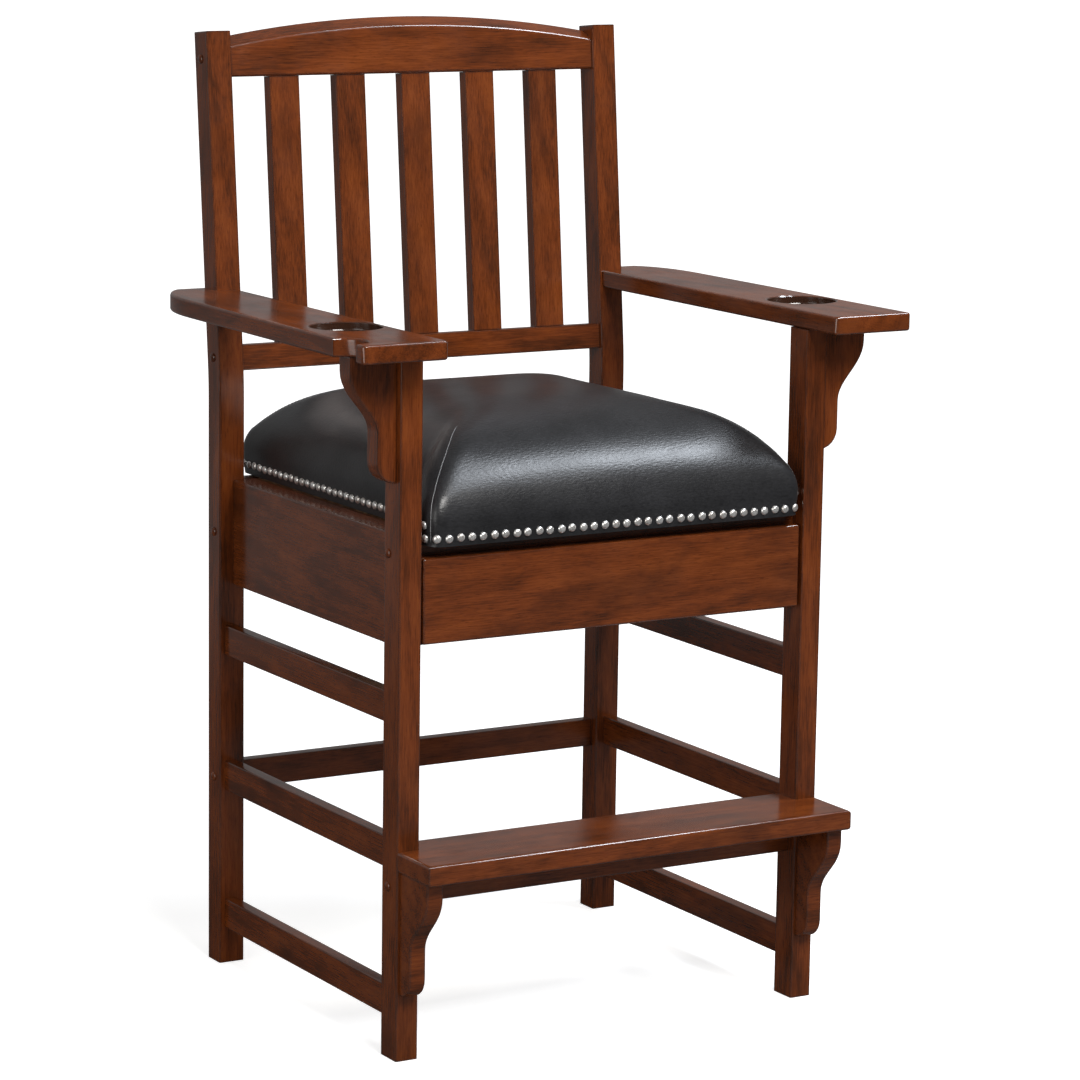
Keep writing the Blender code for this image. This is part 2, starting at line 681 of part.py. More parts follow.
def corner_arc(before, corner, after, radius):
    """Rounds one corner of an outline with a curve that starts and ends radius away from it."""
    a = Vector(corner) + (Vector(before) - Vector(corner)).normalized() * radius
    b = Vector(corner) + (Vector(after) - Vector(corner)).normalized() * radius
    mid_a = a.lerp(Vector(corner), CORNER_PULL_SHARE)
    mid_b = b.lerp(Vector(corner), CORNER_PULL_SHARE)
    return bezier(tuple(a), tuple(mid_a), tuple(mid_b), tuple(b), CORNER_STEPS)


def arm_outline(with_rest):
    """Plan of the right arm: straight inside, flared outside, and swept in at the rear outer corner."""
    inner = FRONT_LEG_INNER
    front = -ARM_OVERHANG
    rear = LEG_PITCH + REAR_LEG_DEPTH + (ARM_TOP - BEND_HEIGHT) * math.tan(BACK_LEAN)
    front_outer = (inner + ARM_FRONT_WIDTH, front)
    rear_outer = (inner + ARM_REAR_WIDTH, rear - ARM_REAR_LENGTH)
    points = corner_arc((inner, rear), (inner, front), front_outer, ARM_CORNER)
    points += corner_arc((inner, front), front_outer, rear_outer, ARM_CORNER)
    if with_rest:
        points += arc((front_outer[0], REST_SETBACK), REST_RADIUS, 268, 92, REST_STEPS)
    sweep = ARM_REAR_LENGTH / 2
    points += bezier(
        rear_outer,
        (rear_outer[0], rear - sweep),
        (rear_outer[0] - ARM_REAR_TAPER / 3, rear - sweep / 3),
        (rear_outer[0] - ARM_REAR_TAPER, rear),
        ARM_SWEEP_STEPS,
    )
    points.append((inner, rear))
    return points


def cup_cutter(side, sign, chair):
    """A turned cutter for the cup recess: straight walls, a cove round the floor and an eased rim."""
    floor = ARM_TOP - CUP_DEPTH
    profile = [(0.0, floor)]
    profile += arc((CUP_RADIUS - CUP_COVE, floor + CUP_COVE), CUP_COVE, 270, 360, CUP_COVE_STEPS)
    profile += [(CUP_RADIUS, ARM_TOP - CUP_COVE / 3), (CUP_RADIUS + CUP_COVE / 3, ARM_TOP)]
    profile += [(CUP_RADIUS + CUP_COVE / 3, ARM_TOP + CUP_DEPTH), (0.0, ARM_TOP + CUP_DEPTH)]
    middle = (sign * (FRONT_LEG_INNER + CUP_RADIUS + CUP_WALL[side]), CUP_SETBACK, 0.0)
    bm = turned(profile, CUP_SIDES, Matrix.Translation(middle))
    return hide_cutter(add_object("cup_cutter_" + side, bm, None, chair, middle))


def leg_notch_cutter(side, sign, back):
    """Cuts the arm's inner rear corner away for the leaning leg, and everything behind the leg."""
    low, high = sided(
        sign,
        (REAR_LEG_INNER - REAR_LEG_WIDTH, -CLEARANCE, 0.0),
        (REAR_LEG_FACE + CLEARANCE, 2 * REAR_LEG_DEPTH, 2 * (ARM_TOP - BEND_HEIGHT)),
    )
    bm = bmesh.new()
    add_box(bm, low, high)
    return hide_cutter(add_object("leg_notch_cutter_" + side, bm, None, back, (0.0, 0.0, 0.0)))


def build_arms(finishes, chair, back):
    for side, sign in SIDES:
        outline = [(sign * x, y) for x, y in arm_outline(with_rest=side == "left")]
        arm = prism(
            "arm_" + side,
            outline,
            2,
            ARM_FOOT,
            ARM_TOP,
            finishes["cherry"],
            chair,
            soft=lambda middle: True,
        )
        soften(arm, ARM_EDGE, 3)
        combine(arm, leg_notch_cutter(side, sign, back), "DIFFERENCE")
        combine(arm, cup_cutter(side, sign, chair), "DIFFERENCE")
        cut_sockets(arm, chair)


def bracket_outline(reach):
    """An S-curved bracket's side view, as (distance out from the leg, height) from its top edge."""
    waist = BRACKET_WAIST
    upper, middle, lower = (-BRACKET_LENGTH * share for share in BRACKET_CURVE_SHARES)
    points = [(0.0, 0.0), (reach, 0.0)]
    points += bezier(
        (reach, -BRACKET_LIP), (reach, upper), (waist, middle), (waist, lower), BRACKET_CURVE_STEPS
    )
    points += arc((0.0, waist - BRACKET_LENGTH), waist, 0, -90, BRACKET_FOOT_STEPS)
    return points


def build_arm_brackets(finishes, chair):
    top = ARM_FOOT - CLEARANCE
    face = LEG_FACE + CLEARANCE
    for side, sign in SIDES:
        outline = bracket_outline(ARM_BRACKET_REACH)
        outline = [(sign * (face + out), top + height) for out, height in outline]
        bracket = prism(
            "arm_bracket_" + side,
            outline,
            1,
            ARM_BRACKET_SETBACK,
            ARM_BRACKET_SETBACK + ARM_BRACKET_THICKNESS,
            finishes["cherry"],
            chair,
            soft=lambda middle: middle.z < top - CLEARANCE and abs(middle.x) > face + CLEARANCE,
        )
        soften(bracket, BRACKET_EDGE)


def build_footrest_brackets(finishes, chair):
    top = FOOTREST_FOOT - CLEARANCE
    near = LEG_FACE - (FRONT_LEG_WIDTH + FOOT_BRACKET_THICKNESS) / 2
    for side, sign in SIDES:
        outline = bracket_outline(FOOT_BRACKET_REACH)
        outline = [(-CLEARANCE - out, top + height) for out, height in outline]
        inner, outer = sorted((sign * near, sign * (near + FOOT_BRACKET_THICKNESS)))
        bracket = prism(
            "footrest_bracket_" + side,
            outline,
            0,
            inner,
            outer,
            finishes["cherry"],
            chair,
            soft=lambda middle: middle.z < top - CLEARANCE and middle.y < -2 * CLEARANCE,
        )
        soften(bracket, BRACKET_EDGE)


def build_footrest(finishes, chair):
    """A board in front of the legs whose middle reaches back between them."""
    inner = FRONT_LEG_INNER - CLEARANCE
    right = [(LEG_FACE, -FOOTREST_OVERHANG), (LEG_FACE, -CLEARANCE)]
    right += [(inner, -CLEARANCE), (inner, FOOTREST_TONGUE)]
    outline = right + [(-x, y) for x, y in reversed(right)]
    footrest = prism(
        "footrest",
        outline,
        2,
        FOOTREST_FOOT,
        FOOTREST_TOP,
        finishes["cherry"],
        chair,
        soft=lambda middle: middle.y < -2 * CLEARANCE or middle.y > FOOTREST_TONGUE - CLEARANCE,
    )
    soften(footrest, FOOTREST_EDGE, 3)


# Seat


def seat_half_width(y):
    """The cushion widens a little between the front legs."""
    share = min(max((y - FRONT_LEG_DEPTH / 2) / FRONT_LEG_DEPTH, 0.0), 1.0)
    return SEAT_HALF_WIDTH + SEAT_WING * (1 - share * share * (3 - 2 * share))


def seat_outline():
    """Plan of the cushion, anticlockwise from the middle of its right side's front end."""
    front = -SEAT_FRONT_OVERHANG
    rear = SEAT_BACK
    half_front = seat_half_width(front)
    half_rear = seat_half_width(rear)
    radius = SEAT_CORNER
    points = []
    count = SEAT_POINTS_PER_SIDE
    for i in range(count):
        y = front + radius + (rear - front - 2 * radius) * i / count
        points.append((seat_half_width(y), y))
    points += arc((half_rear - radius, rear - radius), radius, 0, 90, SEAT_POINTS_PER_CORNER)[:-1]
    for i in range(count):
        points.append(((half_rear - radius) * (1 - 2 * i / count), rear))
    points += arc((radius - half_rear, rear - radius), radius, 90, 180, SEAT_POINTS_PER_CORNER)[:-1]
    for i in range(count):
        y = rear - radius - (rear - front - 2 * radius) * i / count
        points.append((-seat_half_width(y), y))
    points += arc((radius - half_front, front + radius), radius, 180, 270, SEAT_POINTS_PER_CORNER)[:-1]
    for i in range(count):
        points.append(((half_front - radius) * (2 * i / count - 1), front))
    points += arc((half_front - radius, front + radius), radius, 270, 360, SEAT_POINTS_PER_CORNER)[:-1]
    return points


def seat_rings():
    """Shares of the way in to the middle and of the way up the wall: drawn-in sides, then the crown."""
    draw = SEAT_DRAW_IN / SEAT_HALF_WIDTH
    walls = [(-draw * bulge, rise) for rise, bulge in zip(SEAT_WALL_SHARES, SEAT_BULGE_SHARES)]
    return walls + [(share, 1.0) for share in SEAT_CROWN_SHARES]


def build_seat_board(finishes, chair):
    half = SEAT_HALF_WIDTH - BOARD_INSET
    low = (-half, SEAT_RAIL_SETBACK, BOARD_FOOT)
    high = (half, SEAT_BACK - SEAT_REAR_OVERHANG - BOARD_INSET, BOARD_FOOT + BOARD_THICKNESS)
    plain_block("seat_board", low, high, finishes["plywood"], chair, edge=0.0)
    return low, high


def seat_place(point, centre, share, rise):
    """Draws an outline point in to the middle, corners sooner, and raises it up the wall and the crown.

    The shoulder is higher at the sides and the back than at the front, and the crown is rounder there."""
    out = Vector(point) - centre
    half_depth = (SEAT_BACK + SEAT_FRONT_OVERHANG) / 2
    across = abs(out.x) / SEAT_HALF_WIDTH
    along = abs(out.y) / half_depth
    back = (1 + out.y / out.length) / 2
    power = SEAT_CORNER_POWERS[0] * (1 - back) + SEAT_CORNER_POWERS[1] * back
    fullness = SEAT_FULLNESS_POWERS[0] * (1 - back) + SEAT_FULLNESS_POWERS[1] * back
    roundness = min((across ** power + along ** power) ** (-1 / power), 1.0)
    inward = max(share, 0.0)
    flat = centre + out * (1 - share) * (1 + (roundness - 1) * inward ** SEAT_ROUNDING_POWER)
    reach = min(max((point[1] + SEAT_FRONT_OVERHANG) / SEAT_LIFT_REACH, 0.0), 1.0)
    shoulder = SEAT_SHOULDER + SEAT_SIDE_LIFT * reach * reach * (3 - 2 * reach)
    wall = SEAT_SKIRT_FOOT + (shoulder - SEAT_SKIRT_FOOT) * rise
    return (flat.x, flat.y, wall + (SEAT_TOP - shoulder) * (1 - (1 - inward) ** fullness))


def build_seat_cushion(finishes, chair, board):
    """Rings lofted up the sides and in over the crown, then cut out for the board and the frame."""
    centre = Vector((0.0, (SEAT_BACK - SEAT_FRONT_OVERHANG) / 2))
    bm = bmesh.new()
    loops = []
    for share, rise in seat_rings():
        loop = [seat_place(point, centre, share, rise) for point in seat_outline()]
        loops.append([bm.verts.new(place) for place in loop])
    for a, b in zip(loops, loops[1:]):
        for i in range(len(a)):
            j = (i + 1) % len(a)
            bm.faces.new((a[i], a[j], b[j], b[i]))
    bm.faces.new(list(reversed(loops[0])))
    top = bm.verts.new((centre.x, centre.y, SEAT_TOP))
    last = loops[-1]
    for i in range(len(last)):
        bm.faces.new((last[i], last[(i + 1) % len(last)], top))
    middle = (centre.x, centre.y, SEAT_SHOULDER)
    cushion = add_object("seat_cushion", bm, finishes["leather"], chair, middle)

    low, high = board
    skirt_back = SEAT_RAIL_SETBACK - CLEARANCE * 3
    frame_space = ((-LEG_FACE, skirt_back, APRON_FOOT), (LEG_FACE, 2 * SEAT_BACK, APRON_TOP + SEAT_SIDE_GAP))
    board_space = (
        (low[0] - CLEARANCE, skirt_back, APRON_FOOT),
        (high[0] + CLEARANCE, high[1] + CLEARANCE, high[2] + CLEARANCE),
    )
    for name, space in (("frame_cutter", frame_space), ("board_cutter", board_space)):
        bm = bmesh.new()
        add_box(bm, *space)
        combine(cushion, hide_cutter(add_object(name, bm, None, chair, middle)), "DIFFERENCE")


# Drawer


def build_drawer_sides(finishes, drawer):
    """The two sides, each grooved outside for its runner and inside for the bottom and the back."""
    foot = DRAWER_BOX_FOOT
    top = DRAWER_BOX_TOP
    rear = DRAWER_BOX_REAR
    runner_foot = foot + RUNNER_RISE
    for side, sign in SIDES:
        name = "drawer_side_" + side
        low = (DRAWER_SIDE_INNER, DRAWER_FRONT_BACK - DRAWER_GROOVE, foot)
        high = (DRAWER_SIDE_FACE, rear, top)
        tongue_low, tongue_high = sided(sign, low, high)
        note_socket("drawer_front", 1, -1, DRAWER_FRONT_BACK, tongue_low, tongue_high, DRAWER_GROOVE)
        bottom_foot = foot + DRAWER_BOTTOM_RISE
        bottom_low, bottom_high = sided(
            sign,
            (DRAWER_SIDE_INNER, low[1] - DRAWER_GROOVE, bottom_foot),
            (DRAWER_SIDE_INNER, rear + DRAWER_GROOVE, bottom_foot + DRAWER_BOTTOM_THICKNESS),
        )
        inner = sign * DRAWER_SIDE_INNER
        note_socket(name, 0, sign, inner, bottom_low, bottom_high, DRAWER_GROOVE)
        back_low = (0.0, rear - 2 * DRAWER_BACK_THICKNESS, bottom_high[2])
        back_high = (0.0, rear - DRAWER_BACK_THICKNESS, top + DRAWER_GROOVE)
        note_socket(name, 0, sign, inner, back_low, back_high, DRAWER_GROOVE)
        groove_face = APRON_INNER - RUNNER_DEPTH - SLIDE_PLAY
        groove_low = (groove_face, low[1] - DRAWER_GROOVE, runner_foot - SLIDE_PLAY)
        groove_high = (APRON_INNER, rear + DRAWER_GROOVE, runner_foot + RUNNER_HEIGHT + SLIDE_PLAY)
        sockets[name].append((*sided(sign, groove_low, groove_high), None))
        item = plain_block(name, tongue_low, tongue_high, finishes["birch"], drawer, edge=0.0)
        cut_sockets(item, drawer)


def build_drawer_back(finishes, drawer):
    reach = DRAWER_SIDE_INNER + DRAWER_GROOVE - CLEARANCE
    rear = DRAWER_BOX_REAR
    foot = DRAWER_BOX_FOOT + DRAWER_BOTTOM_RISE + DRAWER_BOTTOM_THICKNESS + CLEARANCE
    low = (-reach, rear - 2 * DRAWER_BACK_THICKNESS, foot)
    high = (reach, rear - DRAWER_BACK_THICKNESS, DRAWER_BOX_TOP)
    plain_block("drawer_back", low, high, finishes["birch"], drawer, edge=0.0)


def build_drawer_bottom(finishes, drawer):
    reach = DRAWER_SIDE_INNER + DRAWER_GROOVE - CLEARANCE
    foot = DRAWER_BOX_FOOT + DRAWER_BOTTOM_RISE
    front = DRAWER_FRONT_BACK - DRAWER_GROOVE + CLEARANCE
    rear = DRAWER_BOX_REAR - CLEARANCE
    low = (-reach, front, foot)
    high = (reach, rear, foot + DRAWER_BOTTOM_THICKNESS)
    section_low = (-reach, front, foot)
    section_high = (reach, front, high[2])
    note_socket("drawer_front", 1, -1, DRAWER_FRONT_BACK, section_low, section_high, DRAWER_GROOVE)
    plain_block("drawer_bottom", low, high, finishes["birch"], drawer, edge=0.0)


def build_drawer_front(finishes, drawer):
    half = FRONT_LEG_INNER - DRAWER_FRONT_PLAY
    low = (-half, DRAWER_FRONT_SETBACK, DRAWER_FRONT_TOP - DRAWER_FRONT_HEIGHT)
    high = (half, DRAWER_FRONT_BACK, DRAWER_FRONT_TOP)
    front = plain_block("drawer_front", low, high, finishes["cherry"], drawer, DRAWER_EDGE, 3)
    cut_sockets(front, drawer)


def build_runners(finishes, chair):
    """Wooden runners fixed to the aprons, which the drawer's sides straddle."""
    start = SEAT_RAIL_BACK + 2 * DRAWER_GROOVE
    foot = DRAWER_BOX_FOOT + RUNNER_RISE
    for side, sign in SIDES:
        low, high = sided(
            sign,
            (APRON_INNER - RUNNER_DEPTH, start, foot),
            (APRON_INNER - CLEARANCE, REAR_APRON_FRONT - RUNNER_REAR_SPACE, foot + RUNNER_HEIGHT),
        )
        plain_block("drawer_runner_" + side, low, high, finishes["birch"], chair, edge=0.0)


# Plugs


def plug_places():
    """(leg, plug, depth, height) of each plug, in the middle of the rail that its bolt holds."""
    half_rear = REAR_LEG_DEPTH / 2
    lower_rail = LOWER_RAIL_FOOT + LOWER_RAIL_HEIGHT / 2
    crest = CREST_FOOT + (CREST_END_HEIGHT - CREST_TENON_DROP) / 2
    seat_rail_depth = SEAT_RAIL_SETBACK + SEAT_RAIL_THICKNESS / 2
    places = [
        ("front", "seat_rail", seat_rail_depth, SEAT_RAIL_TOP - SEAT_RAIL_HEIGHT / 2),
        (
            "front",
            "stretcher",
            FRONT_STRETCHER_SETBACK + FRONT_STRETCHER_THICKNESS / 2,
            FOOTREST_FOOT - FRONT_STRETCHER_HEIGHT / 2,
        ),
        ("rear", "stretcher", LEG_PITCH + half_rear, REAR_STRETCHER_FOOT + REAR_STRETCHER_HEIGHT / 2),
        ("rear", "apron", LEG_PITCH + half_rear, APRON_TOP - APRON_HEIGHT / 2),
    ]
    for label, height in (("lower_back_rail", lower_rail), ("crest_rail", crest)):
        along = height * math.sin(BACK_LEAN) + half_rear / math.cos(BACK_LEAN)
        places.append(("rear", label, LEG_PITCH + along, BEND_HEIGHT + height * math.cos(BACK_LEAN)))
    return places


def plug_profile():
    """Half section of a turned button plug: a stem, a flat seat under the head, and a dome."""
    stem = [(0.0, -PLUG_STEM_LENGTH), (PLUG_STEM_RADIUS, -PLUG_STEM_LENGTH)]
    head = [(PLUG_STEM_RADIUS, CLEARANCE), (PLUG_HEAD_RADIUS, CLEARANCE)]
    for i in range(1, PLUG_DOME_STEPS + 1):
        angle = math.pi / 2 * i / PLUG_DOME_STEPS
        head.append((PLUG_HEAD_RADIUS * math.cos(angle), CLEARANCE + PLUG_DOME * math.sin(angle)))
    head[-1] = (0.0, CLEARANCE + PLUG_DOME)
    return stem + head


def plug_hole_profile():
    radius = PLUG_STEM_RADIUS + CLEARANCE
    depth = PLUG_STEM_LENGTH + CLEARANCE
    return [(0.0, -depth), (radius, -depth), (radius, depth), (0.0, depth)]


def build_plugs(finishes, chair):
    for side, sign in SIDES:
        for end in ("front", "rear"):
            drill = bmesh.new()
            for leg, label, depth, height in plug_places():
                if leg != end:
                    continue
                face = LEG_FACE if end == "front" else REAR_LEG_FACE
                place = Vector((sign * face, depth, height))
                outward = Matrix.Rotation(sign * math.pi / 2, 4, "Y")
                bm = turned(plug_profile(), PLUG_SIDES, Matrix.Translation(place) @ outward)
                name = "_".join(("plug", end, label, side))
                plug = add_object(name, bm, finishes["cherry"], chair, place)
                plug.data.shade_smooth()
                hole = turned(plug_hole_profile(), PLUG_SIDES, Matrix.Translation(place) @ outward)
                spare = bpy.data.meshes.new(name + "_hole")
                hole.to_mesh(spare)
                hole.free()
                drill.from_mesh(spare)
            leg_item = bpy.data.objects[end + "_leg_" + side]
            cutter = add_object(leg_item.name + "_plug_holes", drill, None, chair, (0.0, 0.0, 0.0))
            combine(leg_item, hide_cutter(cutter), "DIFFERENCE")


def main():
    clear_scene()
    finishes = make_finishes()
    chair = empty("chair", (0.0, -CHAIR_MIDDLE, 0.0))
    back = empty("leaning_back", (0.0, LEG_PITCH, BEND_HEIGHT), chair, (-BACK_LEAN, 0.0, 0.0))
    lean = Matrix.Translation((0.0, LEG_PITCH, BEND_HEIGHT)) @ Matrix.Rotation(-BACK_LEAN, 4, "X")
    drawer = empty("drawer", (0.0, 0.0, 0.0), chair)

    build_side_rails(finishes, chair)
    build_cross_rails(finishes, chair)
    build_corner_blocks(finishes, chair)
    build_slats(finishes, back)
    build_lower_back_rail(finishes, back, lean)
    build_crest_rail(finishes, back, lean)
    build_front_legs(finishes, chair)
    build_rear_legs(finishes, chair)
    build_arms(finishes, chair, back)
    build_arm_brackets(finishes, chair)
    build_footrest(finishes, chair)
    build_footrest_brackets(finishes, chair)
    board = build_seat_board(finishes, chair)
    build_seat_cushion(finishes, chair, board)
    build_drawer_sides(finishes, drawer)
    build_drawer_back(finishes, drawer)
    build_drawer_bottom(finishes, drawer)
    build_drawer_front(finishes, drawer)
    build_runners(finishes, chair)
    build_plugs(finishes, chair)


main()
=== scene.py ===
"""Looks of the bar height chair: stained and lacquered wood, the leather seat with darts and nails, and the studio.

It is laid out as a Blender add-on and run as a script. Sizes are in metres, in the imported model's own frame: X to the
right as seen by someone facing the chair, the front towards -Y, Z up.
"""

import bisect
import functools
import json
import math

import bmesh
import bpy
from bpy.props import BoolProperty, FloatProperty, FloatVectorProperty, IntProperty, PointerProperty
from mathutils import Matrix, Vector
from mathutils.bvhtree import BVHTree
from mathutils.kdtree import KDTree


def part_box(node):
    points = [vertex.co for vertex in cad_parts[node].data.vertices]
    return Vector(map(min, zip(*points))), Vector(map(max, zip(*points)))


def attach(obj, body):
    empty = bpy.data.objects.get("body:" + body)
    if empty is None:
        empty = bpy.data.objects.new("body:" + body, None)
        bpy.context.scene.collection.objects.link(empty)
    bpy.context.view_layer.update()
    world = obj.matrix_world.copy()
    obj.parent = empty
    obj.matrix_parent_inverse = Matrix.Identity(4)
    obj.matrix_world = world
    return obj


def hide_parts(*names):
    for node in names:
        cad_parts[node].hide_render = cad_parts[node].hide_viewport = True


bl_info = {
    "name": "Bar Height Chair",
    "version": (1, 0, 0),
    "blender": (4, 5, 0),
    "location": "3D View > Sidebar > Chair",
    "description": "Finishes the wood, sews the leather seat, drives its nails and lights the chair",
    "category": "Object",
}

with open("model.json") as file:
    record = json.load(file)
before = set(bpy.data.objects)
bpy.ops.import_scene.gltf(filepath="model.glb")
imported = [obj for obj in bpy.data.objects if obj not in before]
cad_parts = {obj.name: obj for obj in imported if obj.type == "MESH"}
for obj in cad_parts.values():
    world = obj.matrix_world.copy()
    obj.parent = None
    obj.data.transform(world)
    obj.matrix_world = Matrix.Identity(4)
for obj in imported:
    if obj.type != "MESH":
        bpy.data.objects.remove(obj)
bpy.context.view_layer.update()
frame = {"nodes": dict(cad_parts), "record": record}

MM = 0.001

# Which way the grain runs in each board; in the rest it runs along Z
GRAIN_ALONG = {
    "X": ("crest_rail", "lower_back_rail", "front_seat_rail", "rear_apron", "rear_stretcher", "front_stretcher",
          "footrest", "drawer_front", "drawer_back", "drawer_bottom", "seat_board", "corner_block"),
    "Y": ("arm_left", "arm_right", "side_apron", "upper_side", "middle_side", "lower_side", "drawer_side",
          "drawer_runner", "plug"),
}
GRAIN_TURN = {"X": (0.0, -math.pi / 2, 0.0), "Y": (math.pi / 2, 0.0, 0.0), "Z": (0.0, 0.0, 0.0)}

# Shading of the boards' edges, and how each board's own cut and tone differ from the next one's
ARRIS_LIMIT = math.radians(40)
ARRIS_WEIGHT = 50
WELD = 0.01 * MM
BOARD_SHIFT_STEP = 0.618034
BOARD_TONE_STEP = 2.4

# Share of each thing in the stained wood's figure, and how strongly pores and glaze cover it
RING_SHARE, STAIN_SHARE, FIBRE_SHARE, TONE_SHARE = 0.06, 0.50, 0.44, 0.022
PORE_COVER, ARRIS_COVER, SMUDGE_COVER = 0.40, 0.90, 0.50
CUP_RECESS_ROUGHNESS, ARRIS_ROUGHNESS = 0.16, 0.12
PLUG_REACH = 0.2

# Deep and light colours of what is hidden or small, and the thickness of a ply
BIRCH = ((0.40, 0.27, 0.15), (0.62, 0.46, 0.29))
PLYWOOD = ((0.33, 0.22, 0.12), (0.50, 0.37, 0.23))
THREAD = ((0.10, 0.10, 0.105), (0.30, 0.30, 0.31))
PLY = 1.4 * MM

# Frame round the seat
BOARD_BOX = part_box("seat_board")
CHAIR_MIDDLE = -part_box("front_leg_left")[0].y
LEG_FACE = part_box("rear_leg_right")[1].x
FRONT_LEG_DEPTH = 0.0385

# Seat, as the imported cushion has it. Its plan is a little wider at the front, between the legs
SEAT_FRONT = -0.010 - CHAIR_MIDDLE
SEAT_REAR = 0.522 - CHAIR_MIDDLE
SEAT_HALF_WIDTH = 0.245
SEAT_WING = 0.0135
SEAT_CENTRE = Vector((0.0, (SEAT_FRONT + SEAT_REAR) / 2))
SEAT_HALF_DEPTH = (SEAT_REAR - SEAT_FRONT) / 2
CORNER_BEND = 0.016
CORNER_GROWTH = 0.14
GROWTH_START, GROWTH_END = 0.14, 0.75
BEND_STEPS = 24
SIDE_STEPS = 100

# Heights: foot, top of the wall, crown, and how the wall rises behind the front
SEAT_FOOT = 0.6160
SEAT_SHOULDER = 0.6637
SEAT_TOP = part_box("seat_cushion")[1].z
SHOULDER_LIFT = 0.0109
LIFT_REACH = 0.15
SHOULDER_DROP = 0.0155
WALL_SWELL = 0.0041

# Crown: where the shoulder starts, and how full and how square it is at the front and the rear
SHOULDER_SHARE = 0.0307
FULLNESS_FRONT, FULLNESS_REAR = 5.10, 4.35
CORNER_FRONT, CORNER_REAR = 3.10, 2.805
ROUNDING_POWER = 1.832

# Grid of the cover
WALL_RINGS = 6
SHOULDER_RINGS = 5
CROWN_RINGS = 32
RING_SPREAD = 1.35

# Darts: where each cuts the plan's bends, how far in it goes and its thread
DART_CUTS = (17, 7, 17, 7)
DART_REACH = 0.31
DART_FADE = 0.72
THREAD_RADIUS = 0.48 * MM
THREAD_LIFT = 0.3 * MM

# Cuts that seat the cushion on the board and between the legs
SIDE_FOOT = 0.6275
SKIRT_BACK = 0.0196 - CHAIR_MIDDLE
CUT_FLOOR = 0.55
BOARD_GAP = 0.0009
SOFT_LIMIT = math.radians(50)

# Cloth that the stuffing fills
CLOTH = {"quality": 6, "mass": 0.4, "tension_stiffness": 22.0, "compression_stiffness": 22.0,
         "shear_stiffness": 12.0, "bending_stiffness": 1.2, "use_pressure": True}
STUFFING_FRAMES = 20

# Nail rows: the front one starts at its left end, the side ones at the rear, measured from the chair's front
FRONT_ROW_START, FRONT_ROW_LENGTH, FRONT_ROW_HEIGHT = -0.2505, 0.4985, 0.6255
SIDE_ROW_START, SIDE_ROW_LENGTH, SIDE_ROW_HEIGHT, SIDE_ROW_FOOT = 0.5050, 0.500, 0.640, 0.6245
NAIL_SEARCH = 0.05
NAIL_SIDES = 18
NAIL_TILT = 0.05
NAIL_DRIFT, NAIL_RISE = 0.6 * MM, 0.35 * MM

# Cup recesses, from the places where the record stands a glass
CUPS = {row["name"]: row["pos_m"] for row in frame["record"]["mounts"] if row["name"].endswith("cup_floor")}
CUP_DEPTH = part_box("arm_left")[1].z - CUPS["left_cup_floor"][2]
CUP_RADIUS = 0.0445
CUP_RIM = 0.0012


def smooth_share(low, high, value):
    """0 below low, 1 above high, with a smooth turn between."""
    share = min(max((value - low) / (high - low), 0.0), 1.0)
    return share * share * (3 - 2 * share)


def link_object(name, data):
    """A new object in the scene, for a mesh, a lamp or the camera."""
    item = bpy.data.objects.new(name, data)
    bpy.context.scene.collection.objects.link(item)
    return item


def mesh_object(name, bm, material, smooth=True):
    """A new object from a bmesh, with one material."""
    bmesh.ops.recalc_face_normals(bm, faces=bm.faces)
    for face in bm.faces:
        face.smooth = smooth
    mesh = bpy.data.meshes.new(name)
    bm.to_mesh(mesh)
    bm.free()
    mesh.materials.append(material)
    return link_object(name, mesh)


# Shader building


def put(tree, kind, inputs=(), **settings):
    """Adds one node, sets its values and joins the sockets it is given. Returns its first output."""
    node = tree.nodes.new(kind)
    for key, value in settings.items():
        setattr(node, key, value)
    for key, value in dict(inputs).items():
        if isinstance(value, bpy.types.NodeSocket):
            tree.links.new(value, node.inputs[key])
        else:
            node.inputs[key].default_value = value
    return node.outputs[0]


def calc(tree, operation, *values, clamp=False):
    return put(tree, "ShaderNodeMath", enumerate(values), operation=operation, use_clamp=clamp)


def times(tree, first, second):
    return calc(tree, "MULTIPLY", first, second)


def shade(tree, share, first, second, mode="MIX"):
    """Mixes two colours by a share. The mix node's sockets for colours are its seventh and eighth."""
    mix = put(tree, "ShaderNodeMix", {0: share, 6: first, 7: second}, data_type="RGBA", blend_type=mode)
    return mix.node.outputs[2]


def spread(tree, value, low, high, to_low=0.0, to_high=1.0):
    """Maps a value from one range to another, held at the ends."""
    return put(tree, "ShaderNodeMapRange", enumerate((value, low, high, to_low, to_high)), clamp=True)


def mottle(tree, vector, scale, detail=2.0, roughness=0.5, distortion=0.0):
    """Noise as one value."""
    inputs = {"Vector": vector, "Scale": scale, "Detail": detail, "Roughness": roughness, "Distortion": distortion}
    return put(tree, "ShaderNodeTexNoise", inputs)


def calc_vector(tree, operation, *values):
    return put(tree, "ShaderNodeVectorMath", enumerate(values), operation=operation)


def stretch(tree, vector, scale):
    return calc_vector(tree, "MULTIPLY", vector, scale)


def length_of(tree, vector):
    return calc_vector(tree, "LENGTH", vector).node.outputs["Value"]


def part_of(tree, vector, axis):
    return put(tree, "ShaderNodeSeparateXYZ", {0: vector}).node.outputs[axis]


def place_on(tree, kind="Object"):
    """Where a point is on its own object. In the world, the kind Generated gives which way a ray goes."""
    return put(tree, "ShaderNodeTexCoord").node.outputs[kind]


def face_normal(tree):
    return put(tree, "ShaderNodeNewGeometry").node.outputs["True Normal"]


def raised(tree, strength, distance, height):
    return put(tree, "ShaderNodeBump", {"Strength": strength, "Distance": distance, "Height": height})


